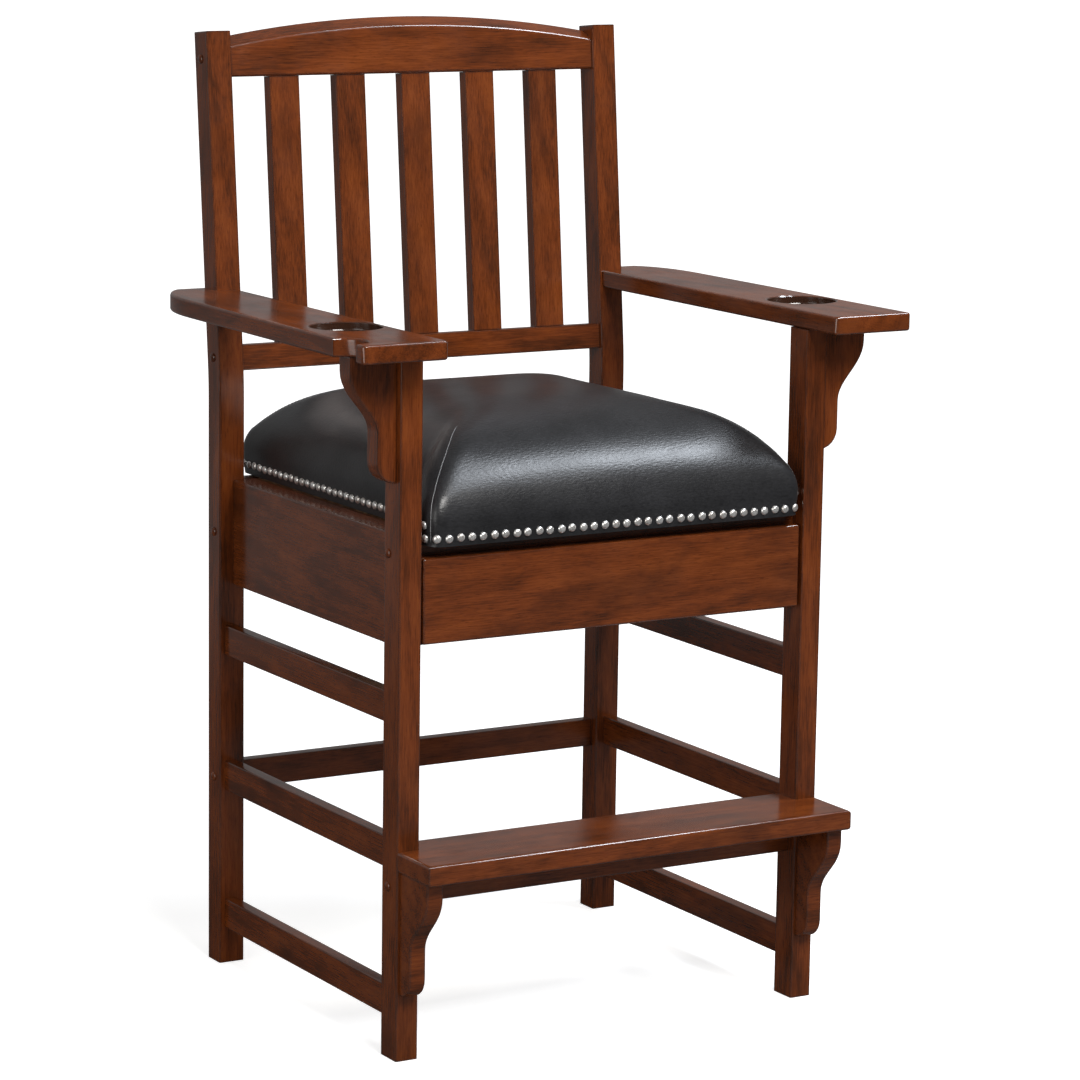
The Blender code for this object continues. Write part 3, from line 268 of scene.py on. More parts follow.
def opaque(colour, share=1.0, lift=0.0):
    """A shader colour from three parts, dimmed by a share and lifted."""
    return (*(part * share + lift for part in colour), 1.0)


def shared_group(name, inputs):
    """Turns a builder, which returns a node group's results by name, into a function that places the group.

    The group is built at its first use. An input with no default is a vector, every other socket is a number."""
    def wrap(build):
        def make():
            tree = bpy.data.node_groups.new(name, "ShaderNodeTree")
            for label, default in inputs.items():
                kind = "NodeSocketVector" if default is None else "NodeSocketFloat"
                socket = tree.interface.new_socket(name=label, in_out="INPUT", socket_type=kind)
                if default is not None:
                    socket.default_value = default
            results = build(tree, tree.nodes.new("NodeGroupInput").outputs)
            for label in results:
                tree.interface.new_socket(name=label, in_out="OUTPUT", socket_type="NodeSocketFloat")
            out = tree.nodes.new("NodeGroupOutput").inputs
            for label, result in results.items():
                tree.links.new(result, out[label])
            return tree

        @functools.wraps(build)
        def place(tree, values):
            group = bpy.data.node_groups.get(name) or make()
            return put(tree, "ShaderNodeGroup", values, node_tree=group).node.outputs
        return place
    return wrap


@shared_group("Board grain", {"Vector": None, "Shift": 0.0, "Ring Scale": 22.0, "Fibre Scale": 620.0})
def board_grain(tree, given):
    """Wood figure for a board whose grain runs along Z: growth rings, fibres, open pores and how stain took."""
    away = put(tree, "ShaderNodeVectorMath", {0: (7.3, 3.1, 5.7), "Scale": given["Shift"]}, operation="SCALE")
    here = calc_vector(tree, "ADD", given["Vector"], away)
    long, wiped, slow, drawn, short = (stretch(tree, here, (1.0, 1.0, share)) for share in (
        0.30, 0.55, 0.09, 0.050, 0.085))
    wave = put(tree, "ShaderNodeTexWave", {"Vector": slow, "Scale": given["Ring Scale"], "Distortion": 7.0,
                                           "Detail": 3.0, "Detail Scale": 1.4, "Detail Roughness": 0.6},
               bands_direction="DIAGONAL")
    dots = mottle(tree, short, times(tree, given["Fibre Scale"], 1.7), 1.0, 0.5)
    return {
        "Stain": mottle(tree, long, 24.0, 4.0, 0.6, 0.4),
        "Rings": wave.node.outputs["Fac"],
        "Fibres": mottle(tree, drawn, given["Fibre Scale"], 3.0, 0.6),
        "Pores": spread(tree, dots, 0.60, 0.72),
        "Smudges": spread(tree, mottle(tree, wiped, 11.0, 3.0, 0.55, 0.3), 0.50, 0.72),
    }


@shared_group("Glazed arris", {"Vector": None, "Reach": 3 * MM, "Strength": 1.0})
def glazed_arris(tree, given):
    """A mask along a board's edges, broken up as hand-wiped glaze is."""
    turned = put(tree, "ShaderNodeBevel", {"Radius": given["Reach"]}, samples=4)
    facing = calc_vector(tree, "DOT_PRODUCT", turned, face_normal(tree)).node.outputs["Value"]
    edge = spread(tree, facing, 0.998, 0.90)
    patchy = spread(tree, mottle(tree, given["Vector"], 55.0, 3.0), 0.3, 0.62, 0.55, 1.0)
    return {"Mask": calc(tree, "MULTIPLY", times(tree, edge, patchy), given["Strength"], clamp=True)}


@shared_group("Uneven polish", {"Vector": None, "Scale": 30.0, "Least": 0.25, "Most": 0.4})
def uneven_polish(tree, given):
    """Roughness of a surface that was rubbed and handled: slow clouds and fine haze between two levels."""
    clouds = mottle(tree, given["Vector"], given["Scale"], 2.0)
    fine = mottle(tree, given["Vector"], times(tree, given["Scale"], 14.0), 3.0)
    both = calc(tree, "MULTIPLY_ADD", fine, 0.35, times(tree, clouds, 0.65))
    return {"Roughness": spread(tree, both, 0.35, 0.65, given["Least"], given["Most"])}


@shared_group("Cup lining", {"Vector": None, "Middle": None, "Radius": CUP_RADIUS})
def cup_recess_mask(tree, given):
    """A mask that covers a cup recess and its eased rim."""
    away = calc_vector(tree, "SUBTRACT", given["Vector"], given["Middle"])
    flat = stretch(tree, away, (1.0, 1.0, 0.0))
    inside = calc(tree, "LESS_THAN", length_of(tree, flat), given["Radius"])
    deep = spread(tree, part_of(tree, away, "Z"), CUP_DEPTH, CUP_DEPTH - CUP_RIM)
    return {"Mask": times(tree, inside, deep)}


def polish_of(tree, vector, scale, least, most):
    inputs = {"Vector": vector, "Scale": scale, "Least": least, "Most": most}
    return uneven_polish(tree, inputs)["Roughness"]


def new_material(name):
    """An empty material. Returns it, its tree and the output's surface socket."""
    material = bpy.data.materials.new(name)
    material.use_nodes = True
    tree = material.node_tree
    tree.nodes.clear()
    return material, tree, tree.nodes.new("ShaderNodeOutputMaterial").inputs["Surface"]


def lay_surface(tree, surface, colour, roughness, more):
    """Puts the shader on a material's output."""
    inputs = {"Base Color": colour, "Roughness": roughness, **more}
    tree.links.new(put(tree, "ShaderNodeBsdfPrincipled", inputs), surface)


def own_property(tree, name):
    """A number kept on the object itself, such as where its board was cut."""
    return put(tree, "ShaderNodeAttribute", (), attribute_type="OBJECT", attribute_name=name).node.outputs["Fac"]


def grain_vector(tree, along):
    """The place turned so that the grain runs along Z, and the place as it is."""
    place = place_on(tree)
    return put(tree, "ShaderNodeMapping", {"Vector": place, "Rotation": GRAIN_TURN[along]}), place


def stained_wood(name, along, deep, mid, light, finish, reach=1.0, cup=None):
    """Stained board under glossy lacquer, with dark glaze wiped over it and left along its arrises."""
    material, tree, surface = new_material(name)
    vector, place = grain_vector(tree, along)
    shift = own_property(tree, "board_shift")
    grain = board_grain(tree, {"Vector": vector, "Shift": shift})
    arris = glazed_arris(tree, {"Vector": place, "Reach": finish.glaze_reach * reach, "Strength": reach})["Mask"]
    polish = polish_of(tree, vector, 24.0, finish.gloss_least, finish.gloss_most)
    figure = calc(tree, "MULTIPLY_ADD", grain["Rings"], RING_SHARE, times(tree, grain["Stain"], STAIN_SHARE))
    figure = calc(tree, "MULTIPLY_ADD", grain["Fibres"], FIBRE_SHARE, figure)
    figure = calc(tree, "ADD", figure, times(tree, own_property(tree, "board_tone"), TONE_SHARE))
    dark = shade(tree, spread(tree, figure, 0.37, 0.50), opaque(deep), opaque(mid))
    colour = shade(tree, spread(tree, figure, 0.50, 0.64), dark, opaque(light))
    colour = shade(tree, times(tree, grain["Pores"], PORE_COVER), colour, opaque(deep, 0.35))
    glaze = calc(tree, "MAXIMUM", times(tree, arris, ARRIS_COVER), times(tree, grain["Smudges"], SMUDGE_COVER))
    colour = shade(tree, glaze, colour, opaque(finish.glaze_colour))
    # A darker, glossier colour inside each cup recess
    if cup is not None:
        in_recess = cup_recess_mask(tree, {"Vector": place, "Middle": cup})["Mask"]
        colour = shade(tree, in_recess, colour, opaque(finish.cup_recess_colour))
        polish = spread(tree, in_recess, 0.0, 1.0, polish, CUP_RECESS_ROUGHNESS)
    polish = spread(tree, arris, 0.0, 1.0, polish, ARRIS_ROUGHNESS)
    height = calc(tree, "SUBTRACT", times(tree, grain["Fibres"], 0.35), grain["Pores"])
    lay_surface(tree, surface, colour, polish, {
        "Normal": raised(tree, 0.22, 0.12 * MM, height), "Specular IOR Level": 0.65, "IOR": 1.5,
        "Coat Weight": arris, "Coat Roughness": 0.10, "Coat IOR": 2.1})
    return material


def raw_wood(name, along, deep, light, ply=False):
    """Pale unstained board, or plywood with its plies on show at the edges."""
    material, tree, surface = new_material(name)
    vector, place = grain_vector(tree, along)
    grain = board_grain(tree, {"Vector": vector, "Shift": own_property(tree, "board_shift"),
                               "Ring Scale": 14.0, "Fibre Scale": 480.0})
    polish = polish_of(tree, vector, 20.0, 0.5, 0.68)
    figure = calc(tree, "MULTIPLY_ADD", grain["Rings"], 0.45, times(tree, grain["Fibres"], 0.6))
    colour = shade(tree, spread(tree, figure, 0.28, 0.72), opaque(deep), opaque(light))
    colour = shade(tree, times(tree, grain["Pores"], 0.3), colour, opaque(deep, 0.4))
    if ply:
        level = part_of(tree, place, "Z")
        layer = calc(tree, "GREATER_THAN", calc(tree, "PINGPONG", level, 2 * PLY), PLY)
        upright = part_of(tree, face_normal(tree), "Z")
        edge = calc(tree, "LESS_THAN", calc(tree, "ABSOLUTE", upright), 0.5)
        share = times(tree, times(tree, layer, edge), 0.55)
        colour = shade(tree, share, colour, opaque(deep, 0.45))
    lay_surface(tree, surface, colour, polish, {
        "Normal": raised(tree, 0.3, 0.2 * MM, grain["Fibres"]), "Specular IOR Level": 0.3})
    return material


def black_leather(seat):
    """Black upholstery leather: pebbled grain, a soft sheen and faint creases."""
    material, tree, surface = new_material("leather_black")
    place = place_on(tree)
    wander = put(tree, "ShaderNodeTexNoise", {"Vector": place, "Scale": 260.0, "Detail": 2.0}).node.outputs["Color"]
    wander = put(tree, "ShaderNodeVectorMath", {0: wander, "Scale": 1.1 * MM}, operation="SCALE")
    loose = calc_vector(tree, "ADD", place, wander)
    pebbles = put(tree, "ShaderNodeTexVoronoi", {
        "Vector": stretch(tree, loose, (0.45, 1.0, 1.0)), "Scale": seat.grain_scale, "Randomness": 0.95},
        feature="SMOOTH_F1").node.outputs["Distance"]
    creases = mottle(tree, stretch(tree, place, (0.36, 1.0, 1.0)), 400.0, 3.0, 0.6, 0.5)
    height = calc(tree, "MULTIPLY_ADD", creases, 0.9, times(tree, pebbles, -0.8))
    polish = polish_of(tree, place, 18.0, seat.polish_least, seat.polish_most)
    worn = spread(tree, mottle(tree, place, 11.0, 3.0), 0.38, 0.68)
    colour = shade(tree, worn, opaque(seat.leather_colour), opaque(seat.leather_colour, 1.5, 0.003))
    colour = shade(tree, spread(tree, pebbles, 0.35, 0.75, 0.0, 0.5), colour, opaque(seat.leather_colour, 0.4))
    lay_surface(tree, surface, colour, polish, {
        "Normal": raised(tree, seat.grain_strength, 0.3 * MM, height), "Specular IOR Level": 0.5,
        "Sheen Weight": 0.03, "Sheen Roughness": 0.4})
    return material


def waxed_thread():
    """Grey waxed thread, laid up from three strands."""
    material, tree, surface = new_material("thread_grey")
    place = place_on(tree)
    strands = put(tree, "ShaderNodeTexWave", {"Vector": place, "Scale": 420.0, "Distortion": 1.5, "Detail": 1.0},
                  bands_direction="DIAGONAL").node.outputs["Fac"]
    colour = shade(tree, strands, *map(opaque, THREAD))
    polish = polish_of(tree, place, 90.0, 0.35, 0.5)
    lay_surface(tree, surface, colour, polish, {"Normal": raised(tree, 0.4, 0.1 * MM, strands)})
    return material


def nail_metal(nails):
    """Bright plated steel with a little brown where plating has dulled."""
    material, tree, surface = new_material("nail_steel")
    place = place_on(tree)
    dull = spread(tree, mottle(tree, place, 95.0, 3.0, 0.6), 0.50, 0.68)
    colour = shade(tree, times(tree, dull, 0.5), opaque(nails.metal_colour), opaque(nails.dull_colour))
    polish = polish_of(tree, place, 150.0, 0.22, 0.38)
    dents = mottle(tree, place, 380.0, 2.0)
    lay_surface(tree, surface, colour, polish, {"Metallic": 0.82, "Normal": raised(tree, 0.25, 0.3 * MM, dents)})
    return material


# What a user would change

COLOUR = functools.partial(FloatVectorProperty, subtype="COLOR", size=3, min=0.0, max=1.0)
SHARE = functools.partial(FloatProperty, subtype="FACTOR")
LENGTH = functools.partial(FloatProperty, unit="LENGTH")
POWER = functools.partial(FloatProperty, subtype="POWER", unit="POWER", min=0.0, max=1000.0)


class ChairWoodFinish(bpy.types.PropertyGroup):
    """Stain, glaze and lacquer of the frame, and the painted shade on the rails under the seat."""

    stain_deep: COLOUR(name="Deep Stain", description="Where the stain took most", default=(0.056, 0.0138, 0.0032))
    stain_mid: COLOUR(name="Stain", description="The stain's usual colour", default=(0.122, 0.0268, 0.0052))
    stain_light: COLOUR(name="Light Stain", description="Where the stain took least", default=(0.172, 0.0410, 0.0080))
    # Painted shade: the rails under the seat take the frame's colours dimmed by this share, standing in for the shade
    # the seat casts on them
    painted_shade_share: SHARE(
        name="Hidden Rails", description="How dark the rails under the seat are, as a share of the frame's colour",
        default=0.5, min=0.1, max=1.0)
    glaze_colour: COLOUR(name="Glaze", description="Dark glaze along the arrises", default=(0.016, 0.0060, 0.0032))
    cup_recess_colour: COLOUR(
        name="Cup Lining", description="Colour of the cup recesses", default=(0.034, 0.0140, 0.0080))
    glaze_reach: LENGTH(
        name="Glaze Reach", description="How far the glaze comes in from an arris", default=3.6 * MM,
        min=0.5 * MM, max=8 * MM)
    gloss_least: SHARE(
        name="Lacquer Low", description="Roughness where the lacquer is glossiest", default=0.15, min=0.05, max=0.9)
    gloss_most: SHARE(
        name="Lacquer High", description="Roughness where the lacquer is dullest", default=0.25, min=0.05, max=0.95)


class ChairSeatLeather(bpy.types.PropertyGroup):
    """Leather seat: colour, grain, stuffing and darts."""

    leather_colour: COLOUR(name="Leather", description="Colour of the leather", default=(0.0115, 0.0115, 0.0128))
    grain_scale: FloatProperty(
        name="Grain Scale", description="Pebbles of the leather's grain in one metre", default=480.0, min=100.0,
        max=3000.0)
    grain_strength: SHARE(
        name="Grain Strength", description="How strongly the grain shows", default=0.62, min=0.0, max=1.0)
    polish_least: SHARE(
        name="Polish Low", description="Roughness where the leather is shiniest", default=0.31, min=0.1, max=0.9)
    polish_most: SHARE(
        name="Polish High", description="Roughness where the leather is dullest", default=0.38, min=0.1, max=0.95)
    stuffing: FloatProperty(
        name="Stuffing", description="Pressure of the stuffing in the cloth simulation", default=4.0, min=0.0,
        max=10.0)
    most_puff: LENGTH(
        name="Most Puff", description="How far the stuffing may push the leather out", default=5 * MM, min=0.0,
        max=15 * MM)
    dart_depth: LENGTH(
        name="Dart Depth", description="How far a dart is drawn in", default=1.6 * MM, min=0.0, max=6 * MM)
    dart_width: LENGTH(
        name="Dart Width", description="How wide the leather dips beside a dart", default=4.5 * MM, min=1 * MM,
        max=20 * MM)


class ChairSeatNails(bpy.types.PropertyGroup):
    """Domed nails round the seat."""

    metal_colour: COLOUR(name="Nail", description="Colour of the plating", default=(0.93, 0.92, 0.90))
    dull_colour: COLOUR(name="Dulled", description="Colour where the plating has dulled", default=(0.42, 0.33, 0.27))
    radius: LENGTH(
        name="Head Radius", description="Radius of a nail's head", default=5.1 * MM, min=2 * MM, max=9 * MM)
    dome: LENGTH(name="Dome", description="Height of a nail's head", default=3.4 * MM, min=0.5 * MM, max=5 * MM)
    front_count: IntProperty(name="Front Nails", description="Nails along the front", default=34, min=2, max=120)
    side_pitch: LENGTH(
        name="Side Pitch", description="Distance between the nails along a side", default=14.6 * MM, min=8 * MM,
        max=60 * MM)
    back_row: BoolProperty(name="Back Row", description="Carries the row on across the back", default=True)


class ChairStudio(bpy.types.PropertyGroup):
    """Floor, lamps and surroundings."""

    floor_colour: COLOUR(name="Floor", description="Colour of the floor", default=(0.72, 0.72, 0.72))
    surround: FloatProperty(name="Surround", description="Light from all round", default=0.34, min=0.0, max=2.0)
    key_power: POWER(name="Front Light", description="Power of the soft light in front", default=126.0)
    top_power: POWER(name="High Light", description="Power of the softbox above on the right", default=66.0)
    side_power: POWER(name="Side Light", description="Power of the broad light on the left", default=38.0)


# Seat shape


def seat_half_width(y):
    """The cushion widens a little between the front legs."""
    depth = y + CHAIR_MIDDLE
    return SEAT_HALF_WIDTH + SEAT_WING * (1 - smooth_share(FRONT_LEG_DEPTH / 2, 1.5 * FRONT_LEG_DEPTH, depth))


def measured(points):
    """A line of points with the length of the way to each."""
    lengths = [0.0]
    for a, b in zip(points, points[1:]):
        lengths.append(lengths[-1] + (b - a).length)
    return points, lengths


def along(line, share):
    """The point a share of the way along a measured line."""
    points, lengths = line
    want = share * lengths[-1]
    i = min(max(bisect.bisect_left(lengths, want), 1), len(points) - 1)
    return points[i - 1].lerp(points[i], (want - lengths[i - 1]) / (lengths[i] - lengths[i - 1]))


@functools.lru_cache(None)
def seat_sides(share):
    """The four sides of the seat's plan, anticlockwise from the front right corner, each from dart to dart.

    The corners are rounder towards the middle of the seat."""
    bend = CORNER_BEND + CORNER_GROWTH * smooth_share(GROWTH_START, GROWTH_END, share)
    bends = []
    for (x_sign, y_sign), begin in zip(((1, -1), (1, 1), (-1, 1), (-1, -1)), (270, 0, 90, 180)):
        end = SEAT_REAR if y_sign > 0 else SEAT_FRONT
        inner = Vector((x_sign * (seat_half_width(end) - bend), end - y_sign * bend))
        reach = seat_half_width(inner.y) - abs(inner.x)
        turns = [math.radians(begin + 90 * i / BEND_STEPS) for i in range(BEND_STEPS + 1)]
        bends.append([inner + Vector((reach * math.cos(a), bend * math.sin(a))) for a in turns])
    sides = []
    for i in range(4):
        leave, meet = bends[i], bends[(i + 1) % 4]
        middle = [leave[-1].lerp(meet[0], k / SIDE_STEPS) for k in range(1, SIDE_STEPS)]
        if i in (0, 2):
            for point in middle:
                point.x = math.copysign(seat_half_width(point.y), point.x)
        sides.append(measured(leave[DART_CUTS[i]:] + middle + meet[:DART_CUTS[(i + 1) % 4] + 1]))
    return sides


def shoulder_height(edge):
    """The wall's top over an edge point: lower across the front than at the sides and the back."""
    return SEAT_SHOULDER + SHOULDER_LIFT * smooth_share(0.0, LIFT_REACH, edge.y - SEAT_FRONT)


def crown_spot(edge, share):
    """Where the crown is at a share of the way from an edge point to the middle."""
    out = edge - SEAT_CENTRE
    across, deep = abs(out.x) / SEAT_HALF_WIDTH, abs(out.y) / SEAT_HALF_DEPTH
    rear = 0.5 + 0.5 * out.y / out.length
    power = CORNER_FRONT + (CORNER_REAR - CORNER_FRONT) * rear
    fullness = FULLNESS_FRONT + (FULLNESS_REAR - FULLNESS_FRONT) * rear
    roundness = min((across**power + deep**power) ** (-1 / power), 1.0)
    place = SEAT_CENTRE + out * (1 - share) * (1 + (roundness - 1) * share**ROUNDING_POWER)
    shoulder = shoulder_height(edge)
    return Vector((place.x, place.y, shoulder + (SEAT_TOP - shoulder) * (1 - (1 - share) ** fullness)))


def wall_spot(edge, rise):
    """Where the wall is at a share of the way up: drawn in at the foot, full under the shoulder."""
    low, high = SEAT_FOOT, shoulder_height(edge) - SHOULDER_DROP
    place = SEAT_CENTRE + (edge - SEAT_CENTRE) * (1 - WALL_SWELL * math.cos(math.pi * rise))
    return Vector((place.x, place.y, low + (high - low) * rise))


def shoulder_spot(edge, fall):
    """Where the cover turns over from the crown, at 0, to the wall, at 1."""
    top, corner, foot = crown_spot(edge, SHOULDER_SHARE), crown_spot(edge, 0.0), wall_spot(edge, 1.0)
    return top * (1 - fall) ** 2 + corner * (2 * fall * (1 - fall)) + foot * fall**2


def seat_form():
    """The crowned cover on an even grid: square rings of the crown, then the wall, open underneath.

    Returns the bmesh, the vertices that stuffing may move, and the vertices of each dart."""
    bm = bmesh.new()
    rings = [[bm.verts.new(crown_spot(seat_sides(1.0)[0][0][0], 1.0))]]
    darts = [[] for _ in range(4)]
    for k in range(1, CROWN_RINGS + 1):
        share = SHOULDER_SHARE + (1 - SHOULDER_SHARE) * (1 - k / CROWN_RINGS) ** RING_SPREAD
        spots = [crown_spot(along(side, i / (2 * k)), share) for side in seat_sides(share) for i in range(2 * k)]
        rings.append([bm.verts.new(spot) for spot in spots])
        if share <= DART_REACH:
            for s in range(4):
                darts[s].append(rings[-1][s * 2 * k])
    for k in range(1, CROWN_RINGS + 1):
        inner, outer = rings[k - 1], rings[k]
        for s in range(4):
            start, inner_start = s * 2 * k, s * 2 * (k - 1)
            for i in range(2 * k):
                before, a, b = (outer[(start + i + step) % len(outer)] for step in (-1, 0, 1))
                d, c = (inner[(inner_start + i + step) % len(inner)] for step in (-1, 0))
                if i == 0:
                    bm.faces.new((before, a, b, c))
                elif i < 2 * k - 1:
                    bm.faces.new((a, b, c, d))
    free = [v for ring in rings for v in ring]
    edges = [along(side, i / (2 * CROWN_RINGS)) for side in seat_sides(0.0) for i in range(2 * CROWN_RINGS)]
    steps = [(shoulder_spot, r / SHOULDER_RINGS) for r in range(1, SHOULDER_RINGS + 1)]
    steps += [(wall_spot, 1 - w / WALL_RINGS) for w in range(1, WALL_RINGS + 1)]
    last = rings[-1]
    for number, (spot, share) in enumerate(steps):
        ring = [bm.verts.new(spot(edge, share)) for edge in edges]
        for i in range(len(ring)):
            j = (i + 1) % len(ring)
            bm.faces.new((last[i], ring[i], ring[j], last[j]))
        if number < SHOULDER_RINGS:
            free += ring
        last = ring
        for s in range(4):
            darts[s].append(ring[s * 2 * CROWN_RINGS])
    return bm, free, darts


def stuff(item, movable, seat, keep):
    """Blows the cover up against its own stiffness with the cloth solver, and caps how far each point moves."""
    group = item.vertex_groups.new(name="held")
    held = sorted(set(range(len(item.data.vertices))) - movable)
    group.add(held, 1.0, "REPLACE")
    before = [v.co.copy() for v in item.data.vertices]
    cloth = item.modifiers.new("stuffing", "CLOTH")
    settings = cloth.settings
    for key, value in CLOTH.items():
        setattr(settings, key, value)
    settings.uniform_pressure_force = seat.stuffing
    settings.vertex_group_mass = "held"
    settings.effector_weights.gravity = 0.0
    cloth.collision_settings.use_collision = False
    scene = bpy.context.scene
    for number in range(1, STUFFING_FRAMES + 1):
        scene.frame_set(number)
    blown = item.evaluated_get(bpy.context.evaluated_depsgraph_get()).data
    after = [v.co.copy() for v in blown.vertices]
    item.modifiers.remove(cloth)
    scene.frame_set(1)
    for i, (a, b) in enumerate(zip(before, after)):
        move = Vector() if i in keep else b - a
        if move.length > seat.most_puff:
            move *= seat.most_puff / move.length
        item.data.vertices[i].co = a + move
    item.vertex_groups.clear()


def cut_box(item, low, high):
    """Cuts a box out of a piece."""
    bm = bmesh.new()
    bmesh.ops.create_cube(bm, size=1.0)
    for v in bm.verts:
        v.co = Vector([high[i] if v.co[i] > 0 else low[i] for i in range(3)])
    mesh = bpy.data.meshes.new("cutter")
    bm.to_mesh(mesh)
    bm.free()
    cutter = link_object("cutter", mesh)
    cut = item.modifiers.new("cut", "BOOLEAN")
    cut.operation, cut.solver, cut.object = "DIFFERENCE", "MANIFOLD", cutter
    apply_modifiers(item)
    bpy.data.objects.remove(cutter)


def apply_modifiers(item):
    """Puts the modifiers' result in the mesh."""
    result = bpy.data.meshes.new_from_object(item.evaluated_get(bpy.context.evaluated_depsgraph_get()))
    item.modifiers.clear()
    old = item.data
    item.data = result
    bpy.data.meshes.remove(old)


def close_underside(item):
    """Fills the open foot of the cover with one flat face."""
    bm = bmesh.new()
    bm.from_mesh(item.data)
    bmesh.ops.holes_fill(bm, edges=[e for e in bm.edges if e.is_boundary], sides=0)
    bmesh.ops.recalc_face_normals(bm, faces=bm.faces)
    bm.to_mesh(item.data)
    bm.free()


def seat_skin():
    """The sewn seat's surface, for casting rays at it."""
    cushion = bpy.data.objects.get("cushion")
    if cushion is None:
        raise RuntimeError("sew the seat before its darts and nails")
    return BVHTree.FromObject(cushion, bpy.context.evaluated_depsgraph_get())


def dart_lines():
    """Each dart's line on the cover, from its foot up over the shoulder and in over the crown."""
    on_wall, on_shoulder, on_crown, closer_up = 8, 6, 30, 1.3
    lines = []
    for s in range(4):
        edge = along(seat_sides(0.0)[s], 0.0)
        line = [wall_spot(edge, i / on_wall) for i in range(1, on_wall)]
        line += [shoulder_spot(edge, 1 - i / on_shoulder) for i in range(on_shoulder)]
        for i in range(on_crown + 1):
            share = SHOULDER_SHARE + (DART_REACH - SHOULDER_SHARE) * (i / on_crown) ** closer_up
            line.append(crown_spot(along(seat_sides(share)[s], 0.0), share))
        lines.append(line)
    return lines


def turn_angles(sides):
    return [2 * math.pi * k / sides for k in range(sides)]


def bridge(bm, first, second):
    """Joins two rings of the same count with a band of faces."""
    for k in range(len(first)):
        j = (k + 1) % len(first)
        bm.faces.new((first[k], first[j], second[j], second[k]))


def tube(bm, points, normals, radius, flat, sides=8):
    """A closed, flattened tube along a line of points on a surface, with narrower ends."""
    rings = []
    for i, (point, up) in enumerate(zip(points, normals)):
        ahead = (points[min(i + 1, len(points) - 1)] - points[max(i - 1, 0)]).normalized()
        across = ahead.cross(up).normalized()
        up = across.cross(ahead)
        size = radius * (0.35 if i in (0, len(points) - 1) else 1.0)
        rings.append([bm.verts.new(point + across * (size * math.cos(a)) + up * (size * flat * math.sin(a)))
                      for a in turn_angles(sides)])
    for first, second in zip(rings, rings[1:]):
        bridge(bm, first, second)
    bm.faces.new(rings[0][::-1])
    bm.faces.new(rings[-1])


def nail_profile(radius, dome):
    """Half section of a nail's head from its crown down: a dome, a rolled rim and an edge sunk in the leather."""
    steps, widest, rim, sunk = 8, 0.94, 0.22, 0.4 * MM
    points = [(0.0, dome)]
    for i in range(1, steps):
        angle = math.pi / 2 * i / steps
        points.append((radius * widest * math.sin(angle), dome * (rim + (1 - rim) * math.cos(angle))))
    return points + [(radius * 0.99, dome * 0.20), (radius, dome * 0.08), (radius * 0.97, -sunk)]


def add_nail(bm, place, normal, radius, dome, turn):
    """One nail's head, stood on the leather along its normal."""
    upright = normal.to_track_quat("Z", "Y").to_matrix().to_4x4()
    matrix = Matrix.Translation(place) @ upright @ Matrix.Rotation(turn, 4, "Z")
    top, *lower = nail_profile(radius, dome)
    crown = bm.verts.new(matrix @ Vector((0, 0, top[1])))
    rings = [[bm.verts.new(matrix @ Vector((r * math.cos(a), r * math.sin(a), z)))
              for a in turn_angles(NAIL_SIDES)] for r, z in lower]
    for k in range(NAIL_SIDES):
        bm.faces.new((rings[0][k], rings[0][(k + 1) % NAIL_SIDES], crown))
    for first, second in zip(rings, rings[1:]):
        bridge(bm, second, first)
    bm.faces.new(rings[-1][::-1])


def soften_group():
    """Geometry nodes that weld a board's faces and leave only its square edges sharp."""
    tree = bpy.data.node_groups.new("Soften arrises", "GeometryNodeTree")
    for way in ("INPUT", "OUTPUT"):
        tree.interface.new_socket(name="Geometry", in_out=way, socket_type="NodeSocketGeometry")
    given = tree.nodes.new("NodeGroupInput").outputs[0]
    weld = put(tree, "GeometryNodeMergeByDistance", {"Geometry": given, "Distance": WELD})
    bare = put(tree, "GeometryNodeRemoveAttribute", {"Geometry": weld, "Name": "custom_normal"})
    smooth = put(tree, "GeometryNodeSetShadeSmooth", {"Geometry": bare, "Shade Smooth": True}, domain="FACE")
    angle = put(tree, "GeometryNodeInputMeshEdgeAngle")
    square = put(tree, "FunctionNodeCompare", {0: angle, 1: ARRIS_LIMIT}, operation="GREATER_THAN")
    sharp = put(tree, "GeometryNodeSetShadeSmooth", {"Geometry": smooth, "Selection": square, "Shade Smooth": False},
                domain="EDGE")
    tree.links.new(sharp, tree.nodes.new("NodeGroupOutput").inputs[0])
    return tree


# Operators


